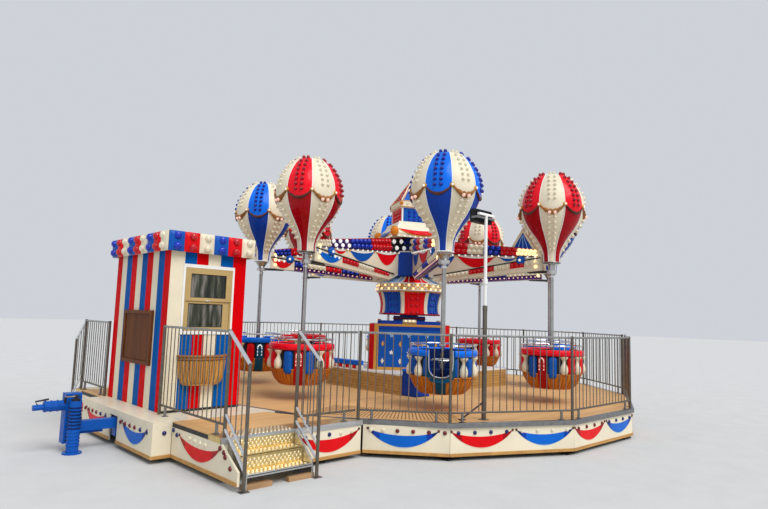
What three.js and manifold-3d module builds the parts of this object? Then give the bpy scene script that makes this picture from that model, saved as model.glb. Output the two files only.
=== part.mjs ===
// Hot air balloon ride: a small roundabout on a trailer, with eight balloon gondolas.
// Millimetres, +Z up. The origin is on the spin axis at ground level, +X runs along the
// trailer from the drawbar to the tail, and -Y is the side with the stairs and the booth window.
// An azimuth is counted in degrees from -Y towards +X.
import * as THREE from 'three';
import { mergeVertices } from 'three/addons/utils/BufferGeometryUtils.js';
import Module from 'manifold-3d';

const wasm = await Module();
wasm.setup();

// Driving dimensions
const SEAT = 0.3; // gap between pieces that touch
const DECK_TOP = 460;
const DECK_THICK = 60;
const SIDES = 14;
const PLATFORM_R = 4080; // corner radius of the platform
const SKIRT_FOOT = 55;
const SKIRT_THICK = 30;
const TRAILER_HALF = 1220;
const TRAILER_FRONT = -5430;
const ENTRY_LEFT = -5200; // the entrance deck stands a little back from the trailer front
const ENTRY_EDGE = -2366; // near edge of the entrance deck
const DRAWBAR_SLOT = 130; // half width of the gap that the drawbar passes

const STAIR_LEFT = -5110;
const STAIR_RIGHT = -4280;
const STAIR_EDGE = -2720;
const TREAD_RISE = DECK_TOP / 3;

const FENCE_TOP = DECK_TOP + 1100;
const RAIL_FOOT = DECK_TOP + 120;
const POST_SIZE = 42;
const RAIL_SIZE = 34;
const BALUSTER_SIZE = 14;
const BALUSTER_PITCH = 128;

const ARMS = 8;
const FIRST_AZIMUTH = -36.3;
const RING_R = 2870; // spin axis to gondola pole
const POLE_R = 42;
const POLE_SIDES = 12;
const BASKET_SIDES = 14;
const ARM_THICK = 70;
const HUB_R = 225;
const HUB_FOOT = 2585;
const HUB_TOP = 3290;

const GONDOLA_FOOT = 690;
const SEAT_TOP = 1000;
const RIM_TOP = 1330;
const DOOR_HALF = 165; // half width of a gondola's doorway
const NECK_FOOT = 2710;
const BALLOON_TOP = 4250;
const BALLOON_R = 545;

const BOOTH_X = [-5105, -4017];
const BOOTH_Y = [-645, 1205];
const BOOTH_TOP = 2700;
const BOOTH_WALL = 40;
const FASCIA = [2500, 2760];
const FASCIA_OUT = 80;
const FASCIA_BACK = 15; // the fascia stands out less on the far side

// Small helpers
const rad = (degrees) => (degrees * Math.PI) / 180;
const steps = (count) => Array.from({ length: count }, (_, i) => i);

// A closed solid made of one geometry, with shared corners and faces that point out
function solid(geometry) {
  const bare = geometry.index ? geometry.toNonIndexed() : geometry.clone();
  bare.deleteAttribute('normal');
  bare.deleteAttribute('uv');
  const merged = mergeVertices(bare, 1e-3);
  const corners = merged.index.array;
  const triangles = [];
  for (let i = 0; i < corners.length; i += 3) {
    const [a, b, c] = [corners[i], corners[i + 1], corners[i + 2]];
    if (a !== b && b !== c && c !== a) triangles.push(a, b, c);
  }
  const points = merged.attributes.position;
  if (volume(points, triangles) < 0) triangles.reverse();
  return new wasm.Manifold(new wasm.Mesh({
    numProp: 3,
    vertProperties: new Float32Array(points.array),
    triVerts: new Uint32Array(triangles),
  }));
}

function volume(points, triangles) {
  const [a, b, c] = [new THREE.Vector3(), new THREE.Vector3(), new THREE.Vector3()];
  let sum = 0;
  for (let i = 0; i < triangles.length; i += 3) {
    a.fromBufferAttribute(points, triangles[i]);
    b.fromBufferAttribute(points, triangles[i + 1]);
    c.fromBufferAttribute(points, triangles[i + 2]);
    sum += a.dot(b.cross(c));
  }
  return sum;
}

const join = (parts) => parts.reduce((whole, part) => whole.add(part));
const cut = (whole, parts) => parts.reduce((rest, part) => rest.subtract(part), whole);

function surface(shape) {
  const mesh = shape.getMesh();
  const geometry = new THREE.BufferGeometry();
  geometry.setAttribute('position', new THREE.BufferAttribute(new Float32Array(mesh.vertProperties), 3));
  geometry.setIndex(new THREE.BufferAttribute(new Uint32Array(mesh.triVerts), 1));
  return geometry;
}

const moved = (shape, x, y, z = 0) => solid(surface(shape).translate(x, y, z));
const spun = (shape, degrees) => solid(surface(shape).rotateZ(rad(degrees)));
const mirrored = (shape) => solid(surface(shape).scale(1, -1, 1));

// Boxes, prisms, bars and turned shapes
function box([x0, x1], [y0, y1], [z0, z1]) {
  const geometry = new THREE.BoxGeometry(x1 - x0, y1 - y0, z1 - z0);
  return solid(geometry.translate((x0 + x1) / 2, (y0 + y1) / 2, (z0 + z1) / 2));
}

function prism(corners, [z0, z1]) {
  const shape = new THREE.Shape(corners.map(([x, y]) => new THREE.Vector2(x, y)));
  const geometry = new THREE.ExtrudeGeometry(shape, { depth: z1 - z0, bevelEnabled: false });
  return solid(geometry.translate(0, 0, z0));
}

// A plate that stands along an azimuth; its outline is in radius and height
function radialPlate(outline, thick, azimuth) {
  const shape = new THREE.Shape(outline.map(([r, z]) => new THREE.Vector2(r, z)));
  const geometry = new THREE.ExtrudeGeometry(shape, { depth: thick, bevelEnabled: false });
  geometry.translate(0, 0, -thick / 2).rotateX(Math.PI / 2).rotateZ(rad(azimuth - 90));
  return solid(geometry);
}

// A plate across X; its outline is in Y and Z
function plateAcrossX(outline, [x0, x1]) {
  const shape = new THREE.Shape(outline.map(([y, z]) => new THREE.Vector2(y, z)));
  const geometry = new THREE.ExtrudeGeometry(shape, { depth: x1 - x0, bevelEnabled: false });
  geometry.rotateX(Math.PI / 2).rotateZ(Math.PI / 2).translate(x0, 0, 0);
  return solid(geometry);
}

function bar(from, to, width, sides = 4) {
  const start = new THREE.Vector3(...from);
  const end = new THREE.Vector3(...to);
  const along = end.clone().sub(start);
  const radius = width / 2 / Math.cos(Math.PI / sides);
  const geometry = new THREE.CylinderGeometry(radius, radius, along.length(), sides, 1);
  geometry.rotateY(Math.PI / sides);
  const turn = new THREE.Quaternion().setFromUnitVectors(new THREE.Vector3(0, 1, 0), along.normalize());
  geometry.applyQuaternion(turn).translate(...start.add(end).multiplyScalar(0.5).toArray());
  return solid(geometry);
}

function turned(profile, segments, azimuth = 0) {
  const points = profile.map(([r, z]) => new THREE.Vector2(r, z));
  const geometry = new THREE.LatheGeometry(points, segments);
  return solid(geometry.rotateX(Math.PI / 2).rotateZ(rad(azimuth)));
}

const ring = (inner, outer, [z0, z1], segments, azimuth = 0) =>
  turned([[inner, z0], [outer, z0], [outer, z1], [inner, z1], [inner, z0]], segments, azimuth);
const disc = (radius, [z0, z1], segments, azimuth = 0) =>
  turned([[0, z0], [radius, z0], [radius, z1], [0, z1]], segments, azimuth);

const polar = (radius, azimuth) => [radius * Math.sin(rad(azimuth)), -radius * Math.cos(rad(azimuth))];

// The platform's corners, with one side centred on -Y
const cornerAzimuth = (i) => (i - 0.5) * (360 / SIDES);
const platformCorner = (i, radius = PLATFORM_R) => polar(radius, cornerAzimuth(i));
const platformOutline = (radius) => steps(SIDES).map((i) => platformCorner(i, radius));

// Scene graph
const group = new THREE.Group();

function addMesh(parent, name, shape, colour, roughness = 0.5, metalness = 0) {
  const material = new THREE.MeshStandardMaterial({ color: colour, roughness, metalness });
  const piece = new THREE.Mesh(surface(shape), material);
  piece.name = name;
  parent.add(piece);
}

const CREAM = 0xeee4c4;
const RED = 0xc01820;
const BLUE = 0x1c55a8;
const DEEP_BLUE = 0x10357c;
const STEEL = 0x9a9c98;
const BOARD = 0xb08a5a;
const WOOD = 0x9a6230;
const DARK = 0x202226;
const GOLD = 0xd8a850;

// Chassis under the decks, with its screw feet
const CHASSIS = [DECK_TOP - DECK_THICK - 150, DECK_TOP - DECK_THICK - SEAT];
const PAD = [0, 20];

function foot(x, y) {
  const leg = 35;
  const pad = 110;
  return join([
    box([x - leg, x + leg], [y - leg, y + leg], [PAD[0], CHASSIS[1]]),
    box([x - pad, x + pad], [y - pad, y + pad], PAD),
  ]);
}

function chassis() {
  const rail = 700;
  const tail = 3650;
  const railHalf = 40;
  const head = TRAILER_FRONT + SKIRT_THICK + 1;
  const parts = [-rail, rail].map((y) => box([head, tail], [y - railHalf, y + railHalf], CHASSIS));
  for (const x of [head + railHalf, -3500, -1200, 0, 1200, tail - railHalf]) {
    parts.push(box([x - railHalf, x + railHalf], [-rail, rail], CHASSIS));
  }
  const reach = PLATFORM_R - 140;
  for (const i of [0, 1, 2, 3, 5, 6, 7, 8, 9, 13]) {
    const [x, y] = platformCorner(i, reach);
    const rootY = Math.sign(y) * rail;
    parts.push(bar([x * 0.35, rootY, CHASSIS[1] - 50], [x, y, CHASSIS[1] - 50], 100));
    parts.push(foot(x * 0.985, y * 0.985));
  }
  const outer = ENTRY_EDGE + 60;
  for (const x of [-4950, -3900]) {
    parts.push(box([x - railHalf, x + railHalf], [outer, -outer], CHASSIS));
    parts.push(foot(x, outer + 120), foot(x, -outer - 120));
  }
  for (const x of [-5250, -3500, tail - 110]) {
    parts.push(foot(x, -rail), foot(x, rail));
  }
  parts.push(foot(0, 0));
  return join(parts);
}

// Decks
const DECK = [DECK_TOP - DECK_THICK, DECK_TOP];
const keepClear = () => prism(platformOutline(PLATFORM_R + 2 * SEAT), [0, 1000]);
const platformDeck = () => prism(platformOutline(PLATFORM_R), DECK);
const trailerDeck = () =>
  cut(box([TRAILER_FRONT, -3000], [-TRAILER_HALF, TRAILER_HALF], DECK), [keepClear()]);
const entranceDeck = () =>
  cut(box([ENTRY_LEFT, -2800], [ENTRY_EDGE, -TRAILER_HALF - SEAT], DECK), [keepClear()]);

// Skirts below the deck edges
const SKIRT = [SKIRT_FOOT, DECK_TOP - DECK_THICK - SEAT];
const FAR_OUT = 6000;

function skirtRing([x0, x1], [y0, y1]) {
  const outer = prism(platformOutline(PLATFORM_R), SKIRT);
  const whole = cut(outer, [prism(platformOutline(PLATFORM_R - SKIRT_THICK), SKIRT)]);
  return whole.intersect(box([x0, x1], [y0, y1], SKIRT));
}

const SKIRT_JOINT = platformCorner(2)[0];
const ENTRY_CORNER_X = -3262; // where the entrance deck meets the platform side
const nearSkirt = () => skirtRing([ENTRY_CORNER_X + 1, SKIRT_JOINT - 1], [-FAR_OUT, 0]);
const tailSkirt = () => skirtRing([SKIRT_JOINT + 1, FAR_OUT], [-FAR_OUT, FAR_OUT]);
const farSkirt = () => skirtRing([ENTRY_CORNER_X + 1, SKIRT_JOINT - 1], [0, FAR_OUT]);

function drawbarEndSkirt() {
  const x = [TRAILER_FRONT, TRAILER_FRONT + SKIRT_THICK];
  const face = box(x, [-TRAILER_HALF, TRAILER_HALF], SKIRT);
  const slot = box([x[0] - 1, x[1] + 1], [-DRAWBAR_SLOT, DRAWBAR_SLOT], [0, 385]);
  const nearReturn = box([TRAILER_FRONT, ENTRY_LEFT - 1], [-TRAILER_HALF, -TRAILER_HALF + SKIRT_THICK], SKIRT);
  return join([cut(face, [slot]), nearReturn, mirrored(nearReturn)]);
}

function entranceSkirt() {
  const left = [ENTRY_LEFT, ENTRY_LEFT + SKIRT_THICK];
  const cheek = plateAcrossX([
    [-TRAILER_HALF - 1, SKIRT[0]],
    [-TRAILER_HALF - 1, SKIRT[1]],
    [ENTRY_EDGE, SKIRT[1]],
    [STAIR_EDGE, 190],
    [STAIR_EDGE, SKIRT[0]],
  ], left);
  const front = box([ENTRY_LEFT, ENTRY_CORNER_X - 40], [ENTRY_EDGE, ENTRY_EDGE + SKIRT_THICK], SKIRT);
  return cut(join([cheek, front]), [keepClear()]);
}

// Stairs
function stairs() {
  const x = [STAIR_LEFT, STAIR_RIGHT];
  const going = (ENTRY_EDGE - SEAT - STAIR_EDGE) / 2;
  const back = ENTRY_EDGE - SEAT;
  const tread = 30;
  const parts = [1, 2].map((k) => {
    const top = DECK_TOP - k * TREAD_RISE;
    return box(x, [back - k * going, back - (k - 1) * going], [top - tread, top]);
  });
  const side = [
    [back, 0],
    [back, DECK_TOP - 5],
    [back - 20, DECK_TOP - 5],
    [STAIR_EDGE, 190],
    [STAIR_EDGE, 0],
  ];
  parts.push(plateAcrossX(side, [x[0], x[0] + 25]));
  parts.push(plateAcrossX(side, [x[1] - 25, x[1]]));
  parts.push(box(x, [back - going - 3, back - going + 3], [100, DECK_TOP - TREAD_RISE]));
  return join(parts);
}

// Drawbar with its jack and towing head
function drawbar() {
  const root = TRAILER_FRONT + SKIRT_THICK + 0.7;
  const beam = box([-6010, root], [-60, 60], [235, 355]);
  const post = box([-6030, -5850], [-75, 75], [110, 700]);
  const plate = plateAcrossX([[-60, 360], [60, 360], [60, 130], [-60, 130]], [root - 20, root]);
  const gusset = prism([[-5860, -20], [-5860, 20], [-5560, 20], [-5560, -20]], [200, 300]);
  const jack = moved(disc(70, [0, 620], 12), -5940, -150);
  const jackPad = moved(disc(110, [0, 20], 12), -5940, -150);
  const link = box([-6000, -5880], [-160, 0], [400, 600]);
  const head = bar([-6010, 0, 556], [-6250, 0, 556], 120, 10);
  const tip = bar([-6200, 0, 552], [-6365, 0, 548], 66, 10);
  return join([beam, post, plate, gusset, jack, jackPad, link, head, tip]);
}

// Centre: low plinth, step boxes, housing and mast
const PLINTH_TOP = 800;
const HOUSING_TOP = 1625;
const COLUMN_TOP = 1780;
const plinth = () => box([-1190, 1830], [-1000, 1000], [DECK_TOP + SEAT, PLINTH_TOP]);
const nearStep = () => box([-1190, -830], [-1330, -1000 - SEAT], [DECK_TOP + SEAT, 900]);
const tailStep = () => box([1830 + SEAT, 2120], [-800, -450], [DECK_TOP + SEAT, 780]);

function housing() {
  const half = 740;
  const chamfer = 110;
  const corners = [];
  for (const side of steps(4)) {
    const normal = 45 + side * 90;
    const spread = (Math.atan2(half - chamfer, half) * 180) / Math.PI;
    corners.push(polar(Math.hypot(half, half - chamfer), normal - spread));
    corners.push(polar(Math.hypot(half, half - chamfer), normal + spread));
  }
  const body = prism(corners, [PLINTH_TOP + SEAT, HOUSING_TOP]);
  const column = box([-300, 300], [-300, 300], [HOUSING_TOP - 1, COLUMN_TOP]);
  const top = prism(corners.map(([x, y]) => [x * 0.8, y * 0.8]), [HOUSING_TOP - 1, HOUSING_TOP + 60]);
  return join([body, top, spun(column, 45)]);
}

const MAST_R = 130;
const MAST_TOP = 3130;
const MAST_SIDES = 16;
const mast = () => disc(MAST_R, [COLUMN_TOP + SEAT, MAST_TOP], MAST_SIDES);

// The sleeve slides up the mast and carries the rotor on its flange
const SLEEVE_R = 180;
function liftSleeve() {
  const bore = (MAST_R + SEAT) / Math.cos(Math.PI / MAST_SIDES);
  const tube = ring(bore, SLEEVE_R, [COLUMN_TOP + 2 * SEAT, HUB_TOP - 60], MAST_SIDES);
  const flange = ring(bore + 5, HUB_R - 10, [HUB_FOOT - 40, HUB_FOOT - SEAT], MAST_SIDES);
  return join([tube, flange]);
}

// Rotor: hub with arms, crown below, tiers above
const ARM_TIP = RING_R - 165;
const ARM_ROOT = HUB_R - 20;
const ARM_TIP_TOP = 2960;
const ARM_OUTLINE = [
  [ARM_ROOT, HUB_FOOT],
  [320, HUB_FOOT],
  [740, 2440],
  [ARM_TIP, 2600],
  [ARM_TIP, 2870],
  [ARM_TIP - 80, ARM_TIP_TOP],
  [ARM_ROOT, HUB_TOP],
];

// Two opposite arms carry a three-cornered crest on their top edge
const CRESTED = [1, 5];
const CREST_THICK = 50;
const CREST = [
  [2140, 2980],
  [2610, 2920],
  [2365, 3330],
];
const BEARING = [2540, 2640];
const BEARING_R = [58, 85];
const COLLAR_R = 110;

// The bearing at an arm's tip is a funnel that narrows downwards
const bearing = (bore) => turned([
  [bore, BEARING[0]],
  [BEARING_R[0], BEARING[0]],
  [BEARING_R[1], BEARING[1]],
  [bore, BEARING[1]],
  [bore, BEARING[0]],
], POLE_SIDES);

// The hub is eight-sided between the arms, with a foot that follows the roof of the lamp ring
const HUB_BODY_R = 470;
const HUB_BODY_TOP = 3005;
const hubBody = (bore) => turned([
  [bore, HUB_FOOT],
  [290, HUB_FOOT],
  [HUB_BODY_R - 20, HUB_FOOT - 55],
  [HUB_BODY_R, HUB_FOOT - 45],
  [HUB_BODY_R, HUB_BODY_TOP],
  [bore, HUB_BODY_TOP],
  [bore, HUB_FOOT],
], ARMS, FIRST_AZIMUTH);

function sweepArms() {
  const clear = SLEEVE_R + 6;
  const parts = [ring(clear, HUB_R, [HUB_FOOT, HUB_TOP], 16, FIRST_AZIMUTH), hubBody(clear)];
  const poleBore = (POLE_R + SEAT) / Math.cos(Math.PI / POLE_SIDES);
  const tongueRoot = ARM_TIP - 300;
  const tongueTip = RING_R - 50;
  for (const k of steps(ARMS)) {
    const azimuth = FIRST_AZIMUTH + k * 45;
    const tongue = [[tongueRoot, 2560], [tongueTip, 2560], [tongueTip, 2620], [tongueRoot, 2620]];
    parts.push(radialPlate(ARM_OUTLINE, ARM_THICK, azimuth));
    parts.push(radialPlate(tongue, 60, azimuth));
    parts.push(moved(bearing(poleBore), ...polar(RING_R, azimuth)));
    if (CRESTED.includes(k)) parts.push(radialPlate(CREST, CREST_THICK, azimuth));
  }
  const bore = disc(clear, [HUB_FOOT - 10, HUB_TOP + 10], 16, FIRST_AZIMUTH);
  const poles = steps(ARMS).map((k) =>
    moved(disc(poleBore, [2400, 2800], POLE_SIDES), ...polar(RING_R, FIRST_AZIMUTH + k * 45)));
  return cut(join(parts), [bore, ...poles]);
}

const CROWN_AZIMUTH = FIRST_AZIMUTH + 22.5;
const crown = () => turned([
  [560, 1800],
  [600, 1800],
  [590, 2050],
  [650, 2245],
  [560, 2245],
  [550, 2050],
  [560, 1800],
], ARMS, CROWN_AZIMUTH);
const lampRing = () => turned([
  [560, 2245 + SEAT],
  [685, 2245 + SEAT],
  [685, 2390],
  [265, HUB_FOOT - SEAT],
  [245, HUB_FOOT - SEAT],
  [245, HUB_FOOT - 25],
  [630, 2350],
  [560, 2300],
  [560, 2245 + SEAT],
], ARMS, CROWN_AZIMUTH);

// The tower above the arms is four-sided
const TOWER_SIDES = 4;
const TOWER_AZIMUTH = FIRST_AZIMUTH - 35;
const DISH_TOP = 3575;
const DRUM_TOP = 3995;
const dish = () => disc(HUB_R, [HUB_TOP + SEAT, HUB_TOP + 20], 8, CROWN_AZIMUTH).add(turned([
  [0, HUB_TOP + 10],
  [735, HUB_TOP + 10],
  [735, HUB_TOP - 40],
  [765, HUB_TOP - 40],
  [770, HUB_TOP + 40],
  [540, DISH_TOP - 50],
  [520, DISH_TOP],
  [0, DISH_TOP],
], TOWER_SIDES, TOWER_AZIMUTH));
const towerDrum = () => turned([
  [0, DISH_TOP + SEAT],
  [425, DISH_TOP + SEAT],
  [425, 3850],
  [480, 3865],
  [480, DRUM_TOP],
  [0, DRUM_TOP],
], TOWER_SIDES, TOWER_AZIMUTH);
const towerCone = () => turned([
  [0, DRUM_TOP + SEAT],
  [460, DRUM_TOP + SEAT],
  [270, 4190],
  [90, 4400],
  [0, 4500],
], TOWER_SIDES, TOWER_AZIMUTH);

// Balloons: a gondola on its pole, and the envelope above
const FLOOR_TOP = 760; // inside the gondola
const RAIL_R = 478; // guard rail just above the rim
const RAIL_Z = 1375;

// The doorway is a U with rounded lower corners; the shape is cut out towards -Y
function doorwayCut() {
  const outline = [
    [-DOOR_HALF, 1500],
    [-DOOR_HALF, 1090],
    [-120, 990],
    [-60, 945],
    [60, 945],
    [120, 990],
    [DOOR_HALF, 1090],
    [DOOR_HALF, 1500],
  ];
  const depth = 450;
  return moved(radialPlate(outline, depth, 90), 0, -150 - depth / 2);
}

function gondola() {
  const shell = turned([
    [0, GONDOLA_FOOT],
    [310, GONDOLA_FOOT],
    [400, 765],
    [458, 930],
    [480, 945],
    [480, 1205],
    [505, 1225],
    [505, RIM_TOP],
    [455, RIM_TOP],
    [445, SEAT_TOP],
    [235, SEAT_TOP],
    [235, FLOOR_TOP],
    [0, FLOOR_TOP],
  ], BASKET_SIDES);
  const pole = disc(POLE_R, [FLOOR_TOP - 10, NECK_FOOT - SEAT], POLE_SIDES);
  const collar = turned([
    [0, BEARING[1] + SEAT],
    [BEARING_R[1], BEARING[1] + SEAT],
    [COLLAR_R, NECK_FOOT - SEAT],
    [0, NECK_FOOT - SEAT],
  ], POLE_SIDES);
  const wheel = disc(170, [1130, 1165], POLE_SIDES);
  const fitting = disc(62, [1300, 1360], POLE_SIDES);
  const rail = turned([
    [RAIL_R - 12, RAIL_Z],
    [RAIL_R + 12, RAIL_Z - 12],
    [RAIL_R + 12, RAIL_Z + 12],
    [RAIL_R - 12, RAIL_Z],
  ], BASKET_SIDES);
  const gapHalf = DOOR_HALF + 35;
  const gap = box([-gapHalf, gapHalf], [-600, -150], [RIM_TOP + 10, 1500]);
  const stays = [-32, 32, 120, -120].map((a) =>
    bar([...polar(RAIL_R, a), RIM_TOP - 10], [...polar(RAIL_R, a), RAIL_Z], 16, 3));
  return join([cut(shell, [doorwayCut()]), pole, collar, wheel, fitting, cut(rail, [gap]), ...stays]);
}

// Each point gives how far down the envelope it lies and its share of the full radius
function envelope() {
  const height = BALLOON_TOP - NECK_FOOT;
  const outline = [
    [0, 0],
    [0.145, 0.75],
    [0.26, 0.93],
    [0.39, 1],
    [0.5, 0.95],
    [0.64, 0.73],
    [0.73, 0.48],
    [0.865, 0.28],
    [1, 0.245],
  ];
  const profile = outline.map(([down, wide]) => [wide * BALLOON_R, BALLOON_TOP - down * height]);
  return turned([...profile, [0, NECK_FOOT]].reverse(), 16);
}

// Booth
function wallAlongX([x0, x1], [y0, y1], holes = []) {
  return cut(box([x0, x1], [y0, y1], [DECK_TOP + SEAT, BOOTH_TOP]), holes);
}

const WINDOW_X = [-4898, -4222];
const WINDOW_Z = [1485, 2310];
const boothFront = () => wallAlongX(
  BOOTH_X,
  [BOOTH_Y[0], BOOTH_Y[0] + BOOTH_WALL],
  [box(WINDOW_X, [BOOTH_Y[0] - 50, BOOTH_Y[0] + 100], WINDOW_Z)],
);
const boothBack = () => wallAlongX(BOOTH_X, [BOOTH_Y[1] - BOOTH_WALL, BOOTH_Y[1]]);
const BETWEEN_Y = [BOOTH_Y[0] + BOOTH_WALL + SEAT, BOOTH_Y[1] - BOOTH_WALL - SEAT];
const boothLeft = () => wallAlongX([BOOTH_X[0], BOOTH_X[0] + BOOTH_WALL], BETWEEN_Y);
const DOOR_Y = [250, 950];
const DOOR_TOP = 2300;
const boothRight = () => wallAlongX(
  [BOOTH_X[1] - BOOTH_WALL, BOOTH_X[1]],
  BETWEEN_Y,
  [box([BOOTH_X[1] - 100, BOOTH_X[1] + 100], DOOR_Y, [0, DOOR_TOP])],
);
const boothDoor = () => box(
  [BOOTH_X[1] - 35, BOOTH_X[1] - 5],
  [DOOR_Y[0] + SEAT, DOOR_Y[1] - SEAT],
  [DECK_TOP + SEAT, DOOR_TOP - SEAT],
);

// The roof slab lies on the walls, and its fascia hangs down outside them
function boothRoof() {
  const x = [BOOTH_X[0] - FASCIA_OUT, BOOTH_X[1] + FASCIA_OUT];
  const y = [BOOTH_Y[0] - FASCIA_OUT, BOOTH_Y[1] + FASCIA_BACK];
  const board = 12;
  const inside = box(
    [x[0] + board, x[1] - board],
    [y[0] + board, y[1] - board],
    [FASCIA[0] - 10, BOOTH_TOP + SEAT],
  );
  return cut(box(x, y, FASCIA), [inside]);
}

// A sash window: the upper sash stands in front of the lower one
function boothWindow() {
  const x = [WINDOW_X[0] + SEAT, WINDOW_X[1] - SEAT];
  const z = [WINDOW_Z[0] + SEAT, WINDOW_Z[1] - SEAT];
  const front = BOOTH_Y[0] - 15;
  const back = BOOTH_Y[0] + 30;
  const pane = [BOOTH_Y[0] + 8, BOOTH_Y[0] + 14];
  const light = (high) => [[front - 1, pane[0]], [pane[1], back + 1]].map((y) =>
    box([x[0] + 80, x[1] - 85], y, high));
  return cut(box(x, [front, back], z), [...light([1534, 1843]), ...light([1920, 2240])]);
}

// Half a wicker basket hangs under the window
function boothBasket() {
  const middle = -4600;
  const rim = 350;
  const flattened = 0.6; // its depth from the wall is this share of its half width
  const bowl = turned([
    [0, 795],
    [240, 795],
    [300, 900],
    [320, 1110],
    [rim, 1120],
    [rim, 1185],
    [0, 1185],
  ], 16);
  const wall = BOOTH_Y[0] - SEAT;
  const room = box([middle - 400, middle + 400], [wall - rim, wall], [700, 1300]);
  return solid(surface(bowl).scale(1, flattened, 1).translate(middle, wall, 0)).intersect(room);
}
const boothBoard = () => box([BOOTH_X[0] - 40, BOOTH_X[0] - SEAT], [-245, 710], [1015, 1735]);

// Fences
function fencePanel(from, to, { posts = [true, true], pitch = BALUSTER_PITCH } = {}) {
  const a = new THREE.Vector2(...from);
  const b = new THREE.Vector2(...to);
  const along = b.clone().sub(a);
  const length = along.length();
  const count = Math.max(1, Math.round(length / pitch));
  const at = (t, z) => [a.x + along.x * t, a.y + along.y * t, z];
  const parts = [
    bar(at(0, FENCE_TOP - RAIL_SIZE / 2), at(1, FENCE_TOP - RAIL_SIZE / 2), RAIL_SIZE),
    bar(at(0, RAIL_FOOT), at(1, RAIL_FOOT), RAIL_SIZE),
  ];
  for (const i of steps(count - 1)) {
    const t = (i + 1) / count;
    parts.push(bar(at(t, RAIL_FOOT), at(t, FENCE_TOP - RAIL_SIZE / 2), BALUSTER_SIZE, 3));
  }
  [0, 1].forEach((end) => {
    if (posts[end]) parts.push(bar(at(end, DECK_TOP + SEAT), at(end, FENCE_TOP), POST_SIZE));
  });
  return join(parts);
}

const FENCE_R = PLATFORM_R - 60;
const fenceCorner = (i) => platformCorner(i, FENCE_R);

function fenceRun(points) {
  const panels = steps(points.length - 1).map((i) => fencePanel(points[i], points[i + 1]));
  return join(panels);
}

const between = (a, b, t) => [a[0] + (b[0] - a[0]) * t, a[1] + (b[1] - a[1]) * t];
const ENTRY_POST = [-3300, ENTRY_EDGE + 50];
const nearFence = () =>
  fenceRun([ENTRY_POST, fenceCorner(13), fenceCorner(0), fenceCorner(1), fenceCorner(2)]);
const tailFence = () => fenceRun([
  between(fenceCorner(2), fenceCorner(3), 0.06),
  fenceCorner(3),
  fenceCorner(4),
  fenceCorner(5),
  between(fenceCorner(5), fenceCorner(6), 0.94),
]);

// The rail beside the stairs slopes down to a post on the ground
function stairRail(x) {
  const inner = ENTRY_EDGE + 50;
  const outer = STAIR_EDGE - 25;
  const top = [x, inner, FENCE_TOP - RAIL_SIZE / 2];
  const low = [x, outer, FENCE_TOP - 330];
  return join([
    bar([x, outer, 0], low, 38),
    bar(low, top, 34),
    bar([x, outer, 330], [x, inner, 690], 28),
    bar([x, outer, 180], [x, inner, 540], 28),
  ]);
}

const LEFT_RAIL_X = ENTRY_LEFT + 60;
const RIGHT_RAIL_X = STAIR_RIGHT + 30;
const leftFence = (besideBooth) => join([
  fencePanel([LEFT_RAIL_X, besideBooth], [LEFT_RAIL_X, ENTRY_EDGE + 50]),
  stairRail(LEFT_RAIL_X),
]);
const rightFence = () => join([
  fencePanel([RIGHT_RAIL_X, ENTRY_EDGE + 50], [ENTRY_POST[0] - 60, ENTRY_EDGE + 50]),
  stairRail(RIGHT_RAIL_X),
]);

// Floodlight masts: a pole with a short crossbar, a wide lamp on its inner side and a brace
const LIGHT_X = -1950;
const LIGHT_Y = 3245;
function floodlight(y) {
  const top = 3165;
  const inward = -Math.sign(y);
  const lampY = [y + inward * 10, y + inward * 150].sort((a, b) => a - b);
  return join([
    bar([LIGHT_X, y, DECK_TOP + SEAT], [LIGHT_X, y, top], 60, 8),
    box([LIGHT_X - 165, LIGHT_X + 165], [y - 20, y + 20], [top - 35, top]),
    box([LIGHT_X - 190, LIGHT_X + 190], lampY, [3030, 3225]),
    bar([LIGHT_X, y, 690], [LIGHT_X - 260, y + inward * 150, DECK_TOP + SEAT + 14], 24),
  ]);
}

// Fixed pieces
addMesh(group, 'chassis', chassis(), DARK, 0.6, 0.4);
addMesh(group, 'platform_deck', platformDeck(), BOARD, 0.7);
addMesh(group, 'trailer_deck', trailerDeck(), CREAM);
addMesh(group, 'near_skirt', nearSkirt(), CREAM);
addMesh(group, 'tail_skirt', tailSkirt(), CREAM);
addMesh(group, 'far_skirt', farSkirt(), CREAM);
addMesh(group, 'drawbar_end_skirt', drawbarEndSkirt(), CREAM);
addMesh(group, 'drawbar', drawbar(), BLUE);
addMesh(group, 'centre_plinth', plinth(), WOOD);
addMesh(group, 'near_step_box', nearStep(), BLUE);
addMesh(group, 'tail_step_box', tailStep(), BLUE);
addMesh(group, 'centre_housing', housing(), BLUE);
addMesh(group, 'mast', mast(), STEEL, 0.3, 0.8);

addMesh(group, 'booth_front_wall', boothFront(), RED);
addMesh(group, 'booth_back_wall', boothBack(), CREAM);
addMesh(group, 'booth_left_wall', boothLeft(), CREAM);
addMesh(group, 'booth_right_wall', boothRight(), CREAM);
addMesh(group, 'booth_door', boothDoor(), BLUE);
addMesh(group, 'booth_roof', boothRoof(), RED);
addMesh(group, 'booth_window', boothWindow(), GOLD);
addMesh(group, 'booth_basket', boothBasket(), WOOD);
addMesh(group, 'booth_board', boothBoard(), WOOD);

const GALVANISED = [STEEL, 0.35, 0.8];
addMesh(group, 'near_fence', nearFence(), ...GALVANISED);
addMesh(group, 'far_fence', mirrored(nearFence()), ...GALVANISED);
addMesh(group, 'tail_fence', tailFence(), ...GALVANISED);

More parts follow.
